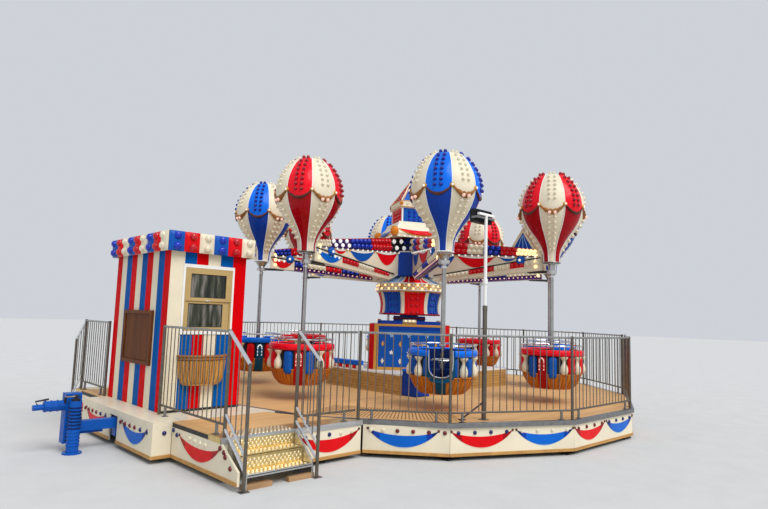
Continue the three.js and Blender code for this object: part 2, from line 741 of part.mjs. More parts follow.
// The way in on the near side, and the same way out on the far side
const BOOTH_GAP = 45; // between the booth and the fence post beside it
const WAYS = [
  ['entrance', (shape) => shape, BOOTH_Y[0] - BOOTH_GAP],
  ['exit', mirrored, -BOOTH_Y[1] - BOOTH_GAP],
];
for (const [way, side, besideBooth] of WAYS) {
  addMesh(group, `${way}_deck`, side(entranceDeck()), BOARD, 0.7);
  addMesh(group, `${way}_skirt`, side(entranceSkirt()), CREAM);
  addMesh(group, `${way}_stairs`, side(stairs()), BOARD, 0.6, 0.3);
  addMesh(group, `${way}_left_fence`, side(leftFence(besideBooth)), ...GALVANISED);
  addMesh(group, `${way}_right_fence`, side(rightFence()), ...GALVANISED);
}
addMesh(group, 'near_floodlight', floodlight(-LIGHT_Y), CREAM, 0.4, 0.3);
addMesh(group, 'far_floodlight', floodlight(LIGHT_Y), CREAM, 0.4, 0.3);

// What lifts, and what turns on it
addMesh(group, 'lift_sleeve', liftSleeve(), DEEP_BLUE, 0.4, 0.2);
const rotor = new THREE.Group();
group.add(rotor);
addMesh(rotor, 'sweep_arms', sweepArms(), CREAM);
addMesh(rotor, 'striped_crown', crown(), RED);
addMesh(rotor, 'lamp_ring', lampRing(), GOLD);
addMesh(rotor, 'top_dish', dish(), CREAM);
addMesh(rotor, 'tower_drum', towerDrum(), BLUE);
addMesh(rotor, 'tower_cone', towerCone(), RED);

// How each balloon happens to be turned on its pole: the azimuth of its doorway
const DOORWAYS = [-52, 102, 20, 75, 130, -160, 154, 139];
for (const k of steps(ARMS)) {
  const balloon = new THREE.Group();
  const [x, y] = polar(RING_R, FIRST_AZIMUTH + k * 45);
  balloon.position.set(x, y, 0);
  balloon.rotation.z = rad(DOORWAYS[k]);
  rotor.add(balloon);
  const colour = k % 2 === 0 ? BLUE : RED;
  addMesh(balloon, `balloon_${k}_gondola`, gondola(), colour);
  addMesh(balloon, `balloon_${k}_envelope`, envelope(), colour);
}

export default group;
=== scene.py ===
# Hot air balloon ride: the detailed pieces and their finishes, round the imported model.
# Metres, +Z up. An azimuth is counted in degrees from -Y towards +X.
import math

import bmesh
import bpy
from mathutils import Matrix, Vector


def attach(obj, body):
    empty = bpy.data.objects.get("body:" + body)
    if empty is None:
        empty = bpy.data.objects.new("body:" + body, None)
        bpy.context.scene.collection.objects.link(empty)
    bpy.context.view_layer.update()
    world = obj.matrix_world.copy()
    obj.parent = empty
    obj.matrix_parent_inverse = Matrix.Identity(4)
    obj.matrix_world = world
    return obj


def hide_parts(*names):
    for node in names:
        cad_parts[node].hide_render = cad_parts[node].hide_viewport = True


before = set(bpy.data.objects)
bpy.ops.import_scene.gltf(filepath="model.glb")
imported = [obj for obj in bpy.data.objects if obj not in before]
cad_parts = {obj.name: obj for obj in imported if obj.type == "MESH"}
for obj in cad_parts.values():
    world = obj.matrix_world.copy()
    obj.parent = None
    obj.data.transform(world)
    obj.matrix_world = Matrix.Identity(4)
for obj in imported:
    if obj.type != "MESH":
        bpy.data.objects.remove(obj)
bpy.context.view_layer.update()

# Sizes, the same as in the part's source
DECK_TOP = 0.46
DECK_FOOT = 0.40
SIDES = 14
PLATFORM_R = 4.08
SKIRT_FOOT = 0.055
TRAILER_HALF = 1.22
TRAILER_FRONT = -5.43
ENTRY_LEFT = -5.2
ENTRY_EDGE = -2.366
ENTRY_CORNER = (-3.262, -2.366)
STAIR_X = (-5.11, -4.28)
STAIR_EDGE = -2.72
FENCE_TOP = 1.56
RAIL_FOOT = 0.58
FENCE_R = 4.02
ENTRY_POST = (-3.3, -2.316)
FIRST_AZIMUTH = -36.3
RING_R = 2.87
NECK_FOOT = 2.71
BALLOON_TOP = 4.25
BOOTH_X = (-5.105, -4.017)
BOOTH_Y = (-0.645, 1.205)
BOOTH_TOP = 2.7
FASCIA_Z = (2.5, 2.76)
DOORWAYS = (-52, 102, 20, 75, 130, -160, 154, 139)
GORES = (-62, -13.7, 20, 75, 130, -160, -45.3, -53.6)  # azimuth of a coloured gore of each envelope
ARM_COLOURS = ("blue", "red")  # of the arms and balloons, by turns
WAYS = (("entrance", False), ("exit", True))  # name and whether it is mirrored
FLANKS = (("near", False), ("far", True))

# Camera at the photograph's place
CAMERA_AT = Vector((-8.275, -7.9, 1.7325))
CAMERA_YAW = 43.706
CAMERA_PITCH = 6.19
CAMERA_ROLL = 1.782
CAMERA_LENS = 27.34


def polar(radius, azimuth, z=0.0):
    a = math.radians(azimuth)
    return Vector((radius * math.sin(a), -radius * math.cos(a), z))


def arm_azimuth(k):
    return FIRST_AZIMUTH + 45 * k


def corner_azimuth(i):
    """Halfway between two arms."""
    return FIRST_AZIMUTH + 22.5 + 45 * i


def mix(a, b, share):
    return a + (b - a) * share


def place_camera():
    yaw, pitch, roll = (math.radians(v) for v in (CAMERA_YAW, CAMERA_PITCH, CAMERA_ROLL))
    ahead = Vector((math.sin(yaw) * math.cos(pitch), math.cos(yaw) * math.cos(pitch), math.sin(pitch)))
    right = Vector((math.cos(yaw), -math.sin(yaw), 0))
    up = right.cross(ahead)
    across = right * math.cos(roll) + up * math.sin(roll)
    above = -right * math.sin(roll) + up * math.cos(roll)
    camera = bpy.data.objects.new("camera", bpy.data.cameras.new("camera"))
    bpy.context.scene.collection.objects.link(camera)
    turn = Matrix((across, above, -ahead)).transposed().to_4x4()
    camera.matrix_world = Matrix.Translation(CAMERA_AT) @ turn
    camera.data.lens = CAMERA_LENS
    camera.data.sensor_width = 36
    camera.data.sensor_fit = "HORIZONTAL"
    camera.data.clip_end = 500
    bpy.context.scene.camera = camera


# Finishes: each is a node material with its own colour variation and gloss, and all but the glass with relief
def link(tree, out, target):
    tree.links.new(out, target)


def node(tree, kind, **values):
    made = tree.nodes.new(kind)
    for name, value in values.items():
        made.inputs[name.replace("_", " ")].default_value = value
    return made


def start_material(name, roughness, metallic=0.0, coat=0.0, gloss=0.5):
    material = bpy.data.materials.new(name)
    material.use_nodes = True
    tree = material.node_tree
    shader = tree.nodes["Principled BSDF"]
    shader.inputs["Metallic"].default_value = metallic
    shader.inputs["Roughness"].default_value = roughness
    shader.inputs["Coat Weight"].default_value = coat
    shader.inputs["Coat Roughness"].default_value = 0.08
    shader.inputs["Specular IOR Level"].default_value = gloss
    place = tree.nodes.new("ShaderNodeTexCoord")
    return material, tree, shader, place.outputs["Object"]


def ramp(tree, source, stops):
    made = tree.nodes.new("ShaderNodeValToRGB")
    band = made.color_ramp
    while len(band.elements) < len(stops):
        band.elements.new(0.5)
    for element, (position, colour) in zip(band.elements, stops):
        element.position = position
        element.color = (*colour, 1)
    link(tree, source, made.inputs["Fac"])
    return made.outputs["Color"]


def grey(value):
    return (value, value, value)


def shade(colour, factor):
    return tuple(min(1.0, c * factor) for c in colour)


def stretched(tree, place, scale):
    mapping = tree.nodes.new("ShaderNodeMapping")
    mapping.inputs["Scale"].default_value = scale
    link(tree, place, mapping.inputs["Vector"])
    return mapping.outputs["Vector"]


def noise(tree, place, **values):
    made = node(tree, "ShaderNodeTexNoise", **values)
    link(tree, place, made.inputs["Vector"])
    return made.outputs["Fac"]


def tint(tree, shader, source, stops):
    link(tree, ramp(tree, source, stops), shader.inputs["Base Color"])


def roughen(tree, shader, place, scale, low, high):
    source = noise(tree, place, Scale=scale, Detail=3.0)
    link(tree, ramp(tree, source, [(0.3, grey(low)), (0.7, grey(high))]), shader.inputs["Roughness"])


def relief(tree, shader, height, strength, distance):
    bump = node(tree, "ShaderNodeBump", Strength=strength, Distance=distance)
    link(tree, height, bump.inputs["Height"])
    link(tree, bump.outputs["Normal"], shader.inputs["Normal"])


# Gloss paint with uneven tone, dulled patches and a slight orange-peel surface
def paint(name, colour, roughness=0.34, coat=0.02, worn=0.86, gloss=0.14):
    material, tree, shader, place = start_material(name, roughness, coat=coat, gloss=gloss)
    tone = noise(tree, place, Scale=2.2, Detail=4.0, Roughness=0.6)
    tint(tree, shader, tone, [(0.32, shade(colour, worn)), (0.62, colour)])
    roughen(tree, shader, place, 9.0, roughness * 0.8, roughness * 1.35)
    relief(tree, shader, noise(tree, place, Scale=220.0, Detail=2.0), 0.08, 0.002)
    return material


def metal(name, colour, roughness, stretch=(1, 1, 1), dull=0.75):
    material, tree, shader, place = start_material(name, roughness, metallic=1.0)
    tone = noise(tree, stretched(tree, place, stretch), Scale=14.0, Detail=5.0, Roughness=0.65)
    tint(tree, shader, tone, [(0.35, shade(colour, dull)), (0.65, colour)])
    roughen(tree, shader, place, 30.0, roughness * 0.75, roughness * 1.3)
    relief(tree, shader, tone, 0.05, 0.002)
    return material


def timber(name, light, dark, along, roughness, scale):
    material, tree, shader, place = start_material(name, roughness, gloss=0.2)
    grain_place = stretched(tree, place, {"X": (0.12, 1.6, 1.6), "Z": (1.6, 1.6, 0.12)}[along])
    grain = noise(tree, grain_place, Scale=scale, Detail=7.0, Roughness=0.62, Distortion=0.4)
    middle = tuple((a + b) / 2 for a, b in zip(light, dark))
    tint(tree, shader, grain, [(0.3, dark), (0.5, middle), (0.7, light)])
    relief(tree, shader, grain, 0.25, 0.004)
    return material


# Moulded lamp caps: clear coloured plastic with a bright lamp behind some of them
def lens(name, colour, glow=0.0):
    material, tree, shader, place = start_material(name, 0.2, coat=0.3, gloss=0.35)
    tone = noise(tree, place, Scale=60.0, Detail=2.0)
    tint(tree, shader, tone, [(0.35, shade(colour, 0.7)), (0.65, colour)])
    shader.inputs["Transmission Weight"].default_value = 0.15
    shader.inputs["Emission Color"].default_value = (*colour, 1)
    shader.inputs["Emission Strength"].default_value = glow
    relief(tree, shader, tone, 0.2, 0.004)
    return material


# Glass: dark, with paler streaks stretched upright that are painted reflections
def glass(name):
    material, tree, shader, place = start_material(name, 0.03, coat=0.2, gloss=0.3)
    tone = noise(tree, stretched(tree, place, (6.0, 6.0, 0.8)), Scale=3.0, Detail=5.0)
    tint(tree, shader, tone, [(0.36, (0.012, 0.014, 0.008)), (0.52, (0.05, 0.055, 0.035)),
                              (0.66, (0.2, 0.18, 0.16))])
    roughen(tree, shader, place, 18.0, 0.02, 0.12)
    return material


RED = (0.76, 0.002, 0.006)
BLUE = (0.006, 0.095, 0.44)
CREAM = (0.84, 0.75, 0.56)

FINISH = {
    "red": paint("red_gloss", RED),
    "wall_red": paint("wall_red", (0.72, 0.0, 0.003), 0.45, 0.0, gloss=0.03),
    "wall_blue": paint("wall_blue", (0.001, 0.1, 0.4), 0.45, 0.0, gloss=0.03),
    "wall_cream": paint("wall_cream", CREAM, 0.42, 0.0, 0.9, gloss=0.05),
    "deep_red": paint("deep_red_gloss", (0.4, 0.0, 0.005), 0.25, 0.08),
    "bright_red": paint("bright_red_gloss", (0.9, 0.006, 0.02), 0.22, 0.08),
    "pink": paint("pink_shading", (0.8, 0.22, 0.2), 0.4),
    "blue": paint("blue_gloss", BLUE),
    "deep_blue": paint("deep_blue_gloss", (0.003, 0.05, 0.38), 0.25, 0.08),
    "bright_blue": paint("bright_blue_gloss", (0.004, 0.17, 0.86), 0.22, 0.08),
    "navy": paint("navy_paint", (0.004, 0.02, 0.11), 0.35),
    "plum": paint("plum_paint", (0.035, 0.006, 0.09), 0.35),
    "pale_blue": paint("pale_blue_shading", (0.28, 0.5, 0.8), 0.4),
    "swag_blue": paint("swag_blue", (0.002, 0.13, 0.6), 0.3),
    "blue_haze": paint("blue_haze", (0.5, 0.62, 0.62), 0.4),
    "red_haze": paint("red_haze", (0.8, 0.5, 0.38), 0.4),
    "teal": paint("teal_shading", (0.002, 0.075, 0.15), 0.32),
    "cream": paint("cream_gloss", CREAM, 0.32, 0.04, 0.9),
    "white": paint("white_gloss", (0.88, 0.87, 0.83), 0.3, 0.1, 0.93),
    "gold": paint("gold_paint", (0.66, 0.33, 0.06), 0.32, 0.1),
    "orange": paint("orange_paint", (0.78, 0.24, 0.02), 0.35),
    "rope": paint("rope_gold", (0.42, 0.17, 0.045), 0.4, 0.05, 0.45),
    "rope_dark": paint("rope_plum", (0.16, 0.055, 0.04), 0.35, 0.1, 0.4),
    "tan_frame": paint("tan_frame", (0.52, 0.36, 0.15), 0.4, 0.05, 0.88),
    "black": paint("black_paint", (0.012, 0.012, 0.014), 0.4, 0.2, 0.6),
    "dark": paint("dark_lining", (0.02, 0.022, 0.03), 0.5, 0.1, 0.6),
    "board_tan": timber("deck_ply", (0.76, 0.46, 0.2), (0.6, 0.34, 0.14), "X", 0.6, 5.0),
    "slat_tan": timber("riser_slats", (0.62, 0.37, 0.12), (0.4, 0.21, 0.06), "X", 0.5, 8.0),
    "edge_wood": timber("skirt_strip", (0.6, 0.33, 0.1), (0.4, 0.2, 0.06), "X", 0.5, 9.0),
    "brown_board": timber("brown_board", (0.17, 0.045, 0.004), (0.08, 0.02, 0.002), "Z", 0.6, 6.0),
    "grip_brown": paint("deck_radial_line", (0.2, 0.09, 0.03), 0.6),
    "packer": timber("packer_wood", (0.5, 0.3, 0.15), (0.28, 0.16, 0.08), "X", 0.75, 9.0),
    "wicker": timber("wicker", (0.68, 0.22, 0.02), (0.42, 0.11, 0.01), "Z", 0.42, 12.0),
    "basket_tan": timber("basket_wicker", (0.64, 0.33, 0.08), (0.4, 0.17, 0.03), "Z", 0.45, 12.0),
    # Painted shadow in the grooves of the wicker, behind the plinth slats and across the booth basket's
    # mouth; also the dark frame of the booth board
    "wicker_dark": timber("wicker_shadow", (0.2, 0.06, 0.012), (0.09, 0.025, 0.006), "Z", 0.6, 12.0),
    "galvanised": metal("galvanised_tube", (0.42, 0.42, 0.41), 0.34),
    "post_steel": metal("post_steel", (0.3, 0.3, 0.3), 0.42),
    "brown_steel": metal("brown_steel", (0.21, 0.185, 0.155), 0.45),
    # Baluster steel: brownish grey, partly the steel's own tone and partly a painted reflection of the deck
    "baluster_steel": metal("baluster_steel", (0.27, 0.24, 0.2), 0.3),
    "pole_steel": metal("pole_steel", (0.5, 0.49, 0.47), 0.18, dull=0.85),
    "chrome": metal("chrome", (0.82, 0.83, 0.85), 0.1, dull=0.9),
    "aluminium": metal("aluminium", (0.68, 0.68, 0.67), 0.32, (0.2, 2, 2)),
    "dark_steel": metal("dark_steel", (0.07, 0.07, 0.075), 0.5),
    "tread": metal("gold_tread", (0.86, 0.64, 0.28), 0.42),
    "tread_point": metal("tread_points", (0.97, 0.85, 0.58), 0.3, dull=0.9),
    "lamp_red": lens("red_lamp_cap", (0.66, 0.003, 0.012), 0.06),
    "lamp_maroon": lens("maroon_lamp_cap", (0.2, 0.004, 0.008)),
    "lamp_blue": lens("blue_lamp_cap", (0.004, 0.035, 0.55), 0.06),
    "lamp_navy": lens("navy_lamp_cap", (0.005, 0.015, 0.16)),
    "lamp_crimson": lens("crimson_lamp_cap", (0.42, 0.002, 0.012), 0.05),
    "lamp_cobalt": lens("cobalt_lamp_cap", (0.006, 0.02, 0.36), 0.05),
    "lamp_cream": lens("cream_lamp_cap", (0.88, 0.8, 0.6), 0.1),
    "lamp_white": lens("white_lamp_cap", (0.95, 0.95, 0.92), 0.5),
    "lamp_pink": lens("pink_lamp_cap", (0.95, 0.6, 0.5), 0.4),
    "lamp_warm": lens("warm_lamp_cap", (1.0, 0.72, 0.36), 1.2),
    "lamp_purple": lens("purple_lamp_cap", (0.2, 0.02, 0.35), 0.15),
    "glass": glass("glass_painted_reflections"),
}


# Shapes: each is a list of points and a list of faces
def slab(x, y, z):
    points = [(a, b, c) for a in x for b in y for c in z]
    faces = [(0, 1, 3, 2), (4, 6, 7, 5), (0, 4, 5, 1), (2, 3, 7, 6), (0, 2, 6, 4), (1, 5, 7, 3)]
    return points, faces


def plate(outline, low, high):
    count = len(outline)
    points = [(x, y, low) for x, y in outline] + [(x, y, high) for x, y in outline]
    faces = [tuple(range(count))[::-1], tuple(range(count, 2 * count))]
    for i in range(count):
        after = (i + 1) % count
        faces.append((i, after, after + count, i + count))
    return points, faces


def tube(path, radius, sides=8, closed=False):
    path = [Vector(p) for p in path]
    count = len(path)
    points, faces = [], []
    side = None
    for i, here in enumerate(path):
        before = path[i - 1] if i or closed else here
        after = path[(i + 1) % count] if i + 1 < count or closed else here
        along = (after - before).normalized()
        if side is None:
            side = along.orthogonal().normalized()
        side = (side - along * side.dot(along)).normalized()
        other = along.cross(side)
        for j in range(sides):
            a = math.tau * (j + 0.5) / sides
            points.append(here + (side * math.cos(a) + other * math.sin(a)) * radius)
    rows = count if closed else count - 1
    for i in range(rows):
        for j in range(sides):
            a, b = i * sides + j, i * sides + (j + 1) % sides
            c, d = ((i + 1) % count) * sides + (j + 1) % sides, ((i + 1) % count) * sides + j
            faces.append((a, b, c, d))
    if not closed:
        faces.append(tuple(range(sides))[::-1])
        faces.append(tuple(range((count - 1) * sides, count * sides)))
    return points, faces


# A surface over a grid of points, row by row
def sheet_of(rows):
    wide = len(rows[0])
    points = [p for row in rows for p in row]
    faces = []
    for i in range(len(rows) - 1):
        for j in range(wide - 1):
            a = i * wide + j
            faces.append((a, a + 1, a + wide + 1, a + wide))
    return points, faces


def turned(profile, sides, start=0.0, sweep=360.0):
    whole = abs(sweep - 360) < 1e-6
    columns = sides if whole else sides + 1
    points, faces, rows = [], [], []
    for r, z in profile:
        if r < 1e-6:
            rows.append([len(points)] * columns)
            points.append(Vector((0, 0, z)))
            continue
        rows.append(range(len(points), len(points) + columns))
        points.extend(polar(r, start + sweep * j / sides, z) for j in range(columns))
    for low, high in zip(rows, rows[1:]):
        for j in range(sides):
            after = (j + 1) % columns
            corners = [low[j], low[after], high[after], high[j]]
            corners = [c for i, c in enumerate(corners) if c not in corners[:i]]
            if len(corners) > 2:
                faces.append(tuple(corners))
    return points, faces


def moved(shape, x=0.0, y=0.0, z=0.0):
    return [Vector(p) + Vector((x, y, z)) for p in shape[0]], shape[1]


def placed(shape, matrix):
    return [matrix @ Vector(p) for p in shape[0]], shape[1]


# The plane of a face: X to the right as seen from outside, Y up, Z out of the face
def facing(origin, outward):
    outward = Vector(outward).normalized()
    right = Vector((0, 0, 1)).cross(outward).normalized()
    up = outward.cross(right)
    turn = Matrix((right, up, outward)).transposed().to_4x4()
    return Matrix.Translation(Vector(origin)) @ turn


# A smooth line through points of any dimension
def smooth_line(stops, parts):
    stops = [Vector(s) for s in stops]
    line = []
    for i in range(len(stops) - 1):
        a, b = stops[max(i - 1, 0)], stops[i]
        c, d = stops[i + 1], stops[min(i + 2, len(stops) - 1)]
        for j in range(parts):
            t = j / parts
            line.append(0.5 * (2 * b + (c - a) * t + (2 * a - 5 * b + 4 * c - d) * t * t
                               + (3 * b - a - 3 * c + d) * t ** 3))
    line.append(stops[-1])
    return line


LAMP_SIDES = 8


def lamp_cap(radius, height):
    profile = [(radius, 0), (radius * 0.93, height * 0.45), (radius * 0.62, height * 0.86), (0, height)]
    return turned(profile, LAMP_SIDES)


class Piece:
    """One mesh of the ride, made of shapes in several finishes."""

    def __init__(self):
        self.points = []
        self.faces = []
        self.looks = []

    def add(self, shape, finish):
        first = len(self.points)
        self.points.extend(shape[0])
        self.faces.extend(tuple(first + i for i in face) for face in shape[1])
        self.looks.extend([finish] * len(shape[1]))

    def on(self, place, shape, finish):
        self.add(placed(shape, place), finish)

    def border(self, place, outer, inner, depth, finish):
        """Four bars between two rectangles of a face, each given by its two ranges."""
        (left, right), upright = outer
        across, (foot, head) = inner
        for x, y in (((left, across[0]), upright), ((across[1], right), upright),
                     (across, (upright[0], foot)), (across, (head, upright[1]))):
            self.on(place, slab(x, y, depth), finish)

    def join(self, other, matrix):
        first = len(self.points)
        self.points.extend(matrix @ Vector(p) for p in other.points)
        self.faces.extend(tuple(first + i for i in face) for face in other.faces)
        self.looks.extend(other.looks)

    def lamp(self, at, outward, finish, radius=0.03, height=None):
        cap = lamp_cap(radius, height or radius * 0.85)
        self.add(placed(cap, facing(at, outward)), finish)

    def lamp_on(self, face, at, finish, radius=0.03, height=None):
        """A lamp cap at a point of a face, turned the way the face looks."""
        self.lamp(face @ Vector(at), face.to_3x3() @ Vector((0, 0, 1)), finish, radius, height)

    def make(self, name, body, replaces=(), sharp=40, mirrored=False, bevel=0.0):
        points = [Vector((p[0], -p[1], p[2])) if mirrored else Vector(p) for p in self.points]
        mesh = bpy.data.meshes.new(name)
        mesh.from_pydata(points, [], self.faces)
        used = sorted(set(self.looks))
        for look in used:
            mesh.materials.append(FINISH[look])
        order = {look: i for i, look in enumerate(used)}
        mesh.polygons.foreach_set("material_index", [order[look] for look in self.looks])
        mesh.polygons.foreach_set("use_smooth", [True] * len(self.looks))
        shaped = bmesh.new()
        shaped.from_mesh(mesh)
        bmesh.ops.recalc_face_normals(shaped, faces=shaped.faces)
        shaped.to_mesh(mesh)
        shaped.free()
        mesh.set_sharp_from_angle(angle=math.radians(sharp))
        made = bpy.data.objects.new(name, mesh)
        bpy.context.scene.collection.objects.link(made)
        if bevel:
            softer = made.modifiers.new("edges", "BEVEL")
            softer.width = bevel
            softer.segments = 2
            softer.limit_method = "ANGLE"
            softer.angle_limit = math.radians(50)
        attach(made, body)
        if replaces:
            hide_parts(*replaces)
        return made


def finish_node(name, finish):
    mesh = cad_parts[name].data
    mesh.materials.clear()
    mesh.materials.append(FINISH[finish])


# Floor and light
def set_stage():
    floor = bpy.data.meshes.new("floor")
    reach = 90
    floor.from_pydata([(-reach, -reach, 0), (reach, -reach, 0), (reach, reach, 0), (-reach, reach, 0)],
                      [], [(0, 1, 2, 3)])
    ground = bpy.data.objects.new("floor", floor)
    bpy.context.scene.collection.objects.link(ground)
    floor.materials.append(paint("pale_floor", (0.6, 0.6, 0.59), 0.85, 0.0, 0.95))
    world = bpy.data.worlds.new("studio")
    world.use_nodes = True
    sky = world.node_tree.nodes["Background"]
    sky.inputs["Color"].default_value = (0.86, 0.9, 0.96, 1)
    sky.inputs["Strength"].default_value = 0.72
    bpy.context.scene.world = world
    sun = bpy.data.objects.new("key", bpy.data.lights.new("key", "SUN"))
    sun.data.energy = 2.3
    sun.data.angle = math.radians(40)
    sun.rotation_euler = (math.radians(38), math.radians(-14), math.radians(14))
    bpy.context.scene.collection.objects.link(sun)
    bpy.context.scene.view_settings.view_transform = "Standard"


# Envelopes
ENVELOPE_R = 0.525
ENVELOPE = ((0, 0), (0.03, 0.4), (0.07, 0.58), (0.145, 0.76), (0.26, 0.935), (0.38, 1), (0.5, 0.955),
            (0.62, 0.78), (0.73, 0.53), (0.83, 0.345), (0.9, 0.272), (1, 0.25))
ENVELOPE_LINE = [(BALLOON_TOP - 0.012 - down * (BALLOON_TOP - NECK_FOOT - 0.02), wide * ENVELOPE_R)
                 for down, wide in smooth_line(ENVELOPE, 5)]
GORE = 22.5  # half the width of a gore, in degrees
SWAG_END = 3.63
SWAG_DROP = 0.13


def envelope_radius(z):
    for (z1, r1), (z0, r0) in zip(ENVELOPE_LINE, ENVELOPE_LINE[1:]):
        if z0 <= z <= z1:
            return mix(r0, r1, (z - z0) / max(z1 - z0, 1e-9))
    return ENVELOPE_LINE[-1][1] if z < NECK_FOOT + 0.1 else ENVELOPE_LINE[0][1]


def envelope_slope(z):
    return (envelope_radius(z - 0.01) - envelope_radius(z + 0.01)) / 0.02


def on_envelope(centre, azimuth, z, across=0.0, out=0.0):
    """A point of the envelope; across runs from -1 to 1 over its gore."""
    bulge = 1 + 0.03 * (1 - across * across)
    return centre + polar(envelope_radius(z) * bulge / 1.03 + out, azimuth + across * GORE, z)


def envelope_normal(azimuth, z):
    return (polar(1, azimuth) + Vector((0, 0, envelope_slope(z)))).normalized()


def gore(piece, centre, azimuth, upper, lower):
    columns = [-1, -0.82, -0.5, -0.17, 0.17, 0.5, 0.82, 1]
    swag = [SWAG_END - SWAG_DROP * (1 - c * c) for c in columns]
    heights = [z for z, _ in ENVELOPE_LINE]
    top = [(heights[0] - z) / (heights[0] - SWAG_END) for z in heights if z > SWAG_END] + [1.0]
    rows = [[on_envelope(centre, azimuth, mix(heights[0], swag[i], share), c, 0.007)
             for i, c in enumerate(columns)] for share in top]
    lip = [on_envelope(centre, azimuth, swag[i], c, 0.0) for i, c in enumerate(columns)]
    piece.add(sheet_of(rows + [lip]), upper)
    down = [(SWAG_END - z) / (SWAG_END - heights[-1]) for z in heights if z < SWAG_END]
    rows = [[on_envelope(centre, azimuth, mix(swag[i], heights[-1], share), c)
             for i, c in enumerate(columns)] for share in [0.0] + down]
    piece.add(sheet_of(rows), lower)


def swag_rope(piece, centre, azimuth, coloured):
    """A twisted garland along the swag, thick in the middle and thin at its ends."""
    count, around_it, strands, turns = 40, 9, 3, 6
    thick, finish = (0.022, "rope_dark") if coloured else (0.042, "rope")
    rows = []
    for i in range(count + 1):
        across = -1 + 2 * i / count
        z = SWAG_END - SWAG_DROP * (1 - across * across)
        size = mix(0.014, thick, (1 - across * across) ** 1.2)
        row = []
        for j in range(around_it + 1):
            a = math.tau * j / around_it
            twist = 1 + 0.16 * math.cos(strands * (a - math.tau * turns * i / count / strands))
            out = 0.012 + 0.7 * size * twist * math.cos(a)
            row.append(on_envelope(centre, azimuth, z + size * twist * math.sin(a), across, out))
        rows.append(row)
    piece.add(sheet_of(rows), finish)


def envelope_lamps(piece, centre, azimuth, coloured, cap):
    if coloured:
        levels = [4.185 - 0.079 * i for i in range(8)]
        size = 0.03
    else:
        levels = [4.19 - 0.078 * i for i in range(7)] + [3.43 - 0.08 * i for i in range(7)]
        size = 0.026
    for z in levels:
        wide = envelope_radius(z)
        for side in (-0.045, 0.045):
            turn = math.degrees(side * min(1, wide / 0.3) / max(wide, 0.05))
            at = on_envelope(centre, azimuth, z, turn / GORE, 0.0)
            tall = size * (1.5 if z > SWAG_END else 2.0)
            piece.lamp(at, envelope_normal(azimuth + turn, z), cap, size * min(1, 0.5 + wide / 0.4), tall)


def envelope(k):
    piece = Piece()
    centre = polar(RING_R, arm_azimuth(k))
    own = ARM_COLOURS[k % 2]
    for g in range(8):
        azimuth = GORES[k] + 45 * g
        coloured = g % 2 == 0
        upper, lower = (f"bright_{own}", f"deep_{own}") if coloured else ("cream", "cream")
        gore(piece, centre, azimuth, upper, lower)
        swag_rope(piece, centre, azimuth, coloured)
        cap = ("lamp_cobalt" if own == "blue" else "lamp_crimson") if coloured else "lamp_cream"
        envelope_lamps(piece, centre, azimuth, coloured, cap)
        border = [centre + polar(r / 1.03 + 0.004, azimuth + GORE, z) for z, r in ENVELOPE_LINE]
        piece.add(tube(border[1:], 0.008, 6), "white")
        corner = on_envelope(centre, azimuth, SWAG_END, 1, 0.01)
        outward = envelope_normal(azimuth + GORE, SWAG_END)
        piece.lamp(corner, outward, "gold", 0.036, 0.03)
        piece.lamp(corner + outward * 0.026, outward, "lamp_white", 0.017, 0.014)
        if not coloured:
            for side in (-1, 1):
                turn = side * 4.6
                at = on_envelope(centre, azimuth, SWAG_END - SWAG_DROP - 0.012, turn / GORE, 0.034)
                piece.lamp(at, polar(1, azimuth + turn), "lamp_pink", 0.027, 0.035)
    foot, neck = ENVELOPE_LINE[-1]
    flange = [(0.02, foot), (neck + 0.012, foot), (neck + 0.018, foot + 0.008), (neck + 0.012, foot + 0.018),
              (neck - 0.01, foot + 0.018)]
    piece.add(moved(turned(flange, 32), centre.x, centre.y), "white" if own == "blue" else "post_steel")
    finial = [(0.1, BALLOON_TOP - 0.05), (0.085, BALLOON_TOP - 0.018), (0.04, BALLOON_TOP - 0.003),
              (0, BALLOON_TOP)]
    piece.add(moved(turned(finial, 24), centre.x, centre.y), "cream")
    piece.make(f"balloon_{k}_envelope_shell", f"balloon_{k}",
               [f"balloon_{k}_envelope"], sharp=50)


# Gondolas, built with the doorway towards -Y and then turned
BOWL = ((0.0, 0.69), (0.3, 0.69), (0.335, 0.71), (0.385, 0.76), (0.425, 0.83), (0.452, 0.9), (0.462, 0.935))
WALL_R = 0.452
WALL_TOP = 1.21
DOOR_HALF = 0.165
DOOR_FOOT = 0.945
RIM_Z = (1.214, 1.31)
RIM_R = 0.468
RAIL_R = 0.478
RAIL_Z = 1.372
POLE_R = 0.034


def around(radius, azimuths, z):
    return [polar(radius, a, z) for a in azimuths]


def span(first, last, count):
    return [mix(first, last, i / count) for i in range(count + 1)]


def doorway_line(radius, half, foot, top):
    """The U of the doorway on a round wall, from its top left corner to its top right one."""
    stops = [(-half, top), (-half, foot + 0.16), (-half * 0.9, foot + 0.075), (-half * 0.6, foot + 0.018),
             (0, foot), (half * 0.6, foot + 0.018), (half * 0.9, foot + 0.075), (half, foot + 0.16),
             (half, top)]
    line = smooth_line(stops, 4)
    return [polar(radius, math.degrees(math.asin(x / radius)), z) for x, z in line]


def bowl(piece):
    ribs = 44
    across = 6
    columns = ribs * across
    rows = []
    for r, z in BOWL:
        row = []
        for j in range(columns + 1):
            rise = math.sin(math.pi * (j % across) / across)
            row.append(polar(r + 0.009 * rise * min(1, r / 0.3), 360 * j / columns, z))
        rows.append(row)
    piece.add(sheet_of(rows), "wicker")
    # Thin dark lines in the grooves between the bowl's swellings: painted shadow
    for j in range(ribs):
        azimuth = 360 * j / ribs
        if abs((azimuth + 180) % 360 - 180) > 4:
            piece.add(tube([polar(r + 0.0015, azimuth, z) for r, z in BOWL[1:]], 0.0035, 4), "wicker_dark")
    for z, r in ((0.93, 0.468), (0.702, 0.322)):
        piece.add(tube(around(r, span(0, 351, 39), z), 0.011, 8, closed=True), "wicker")


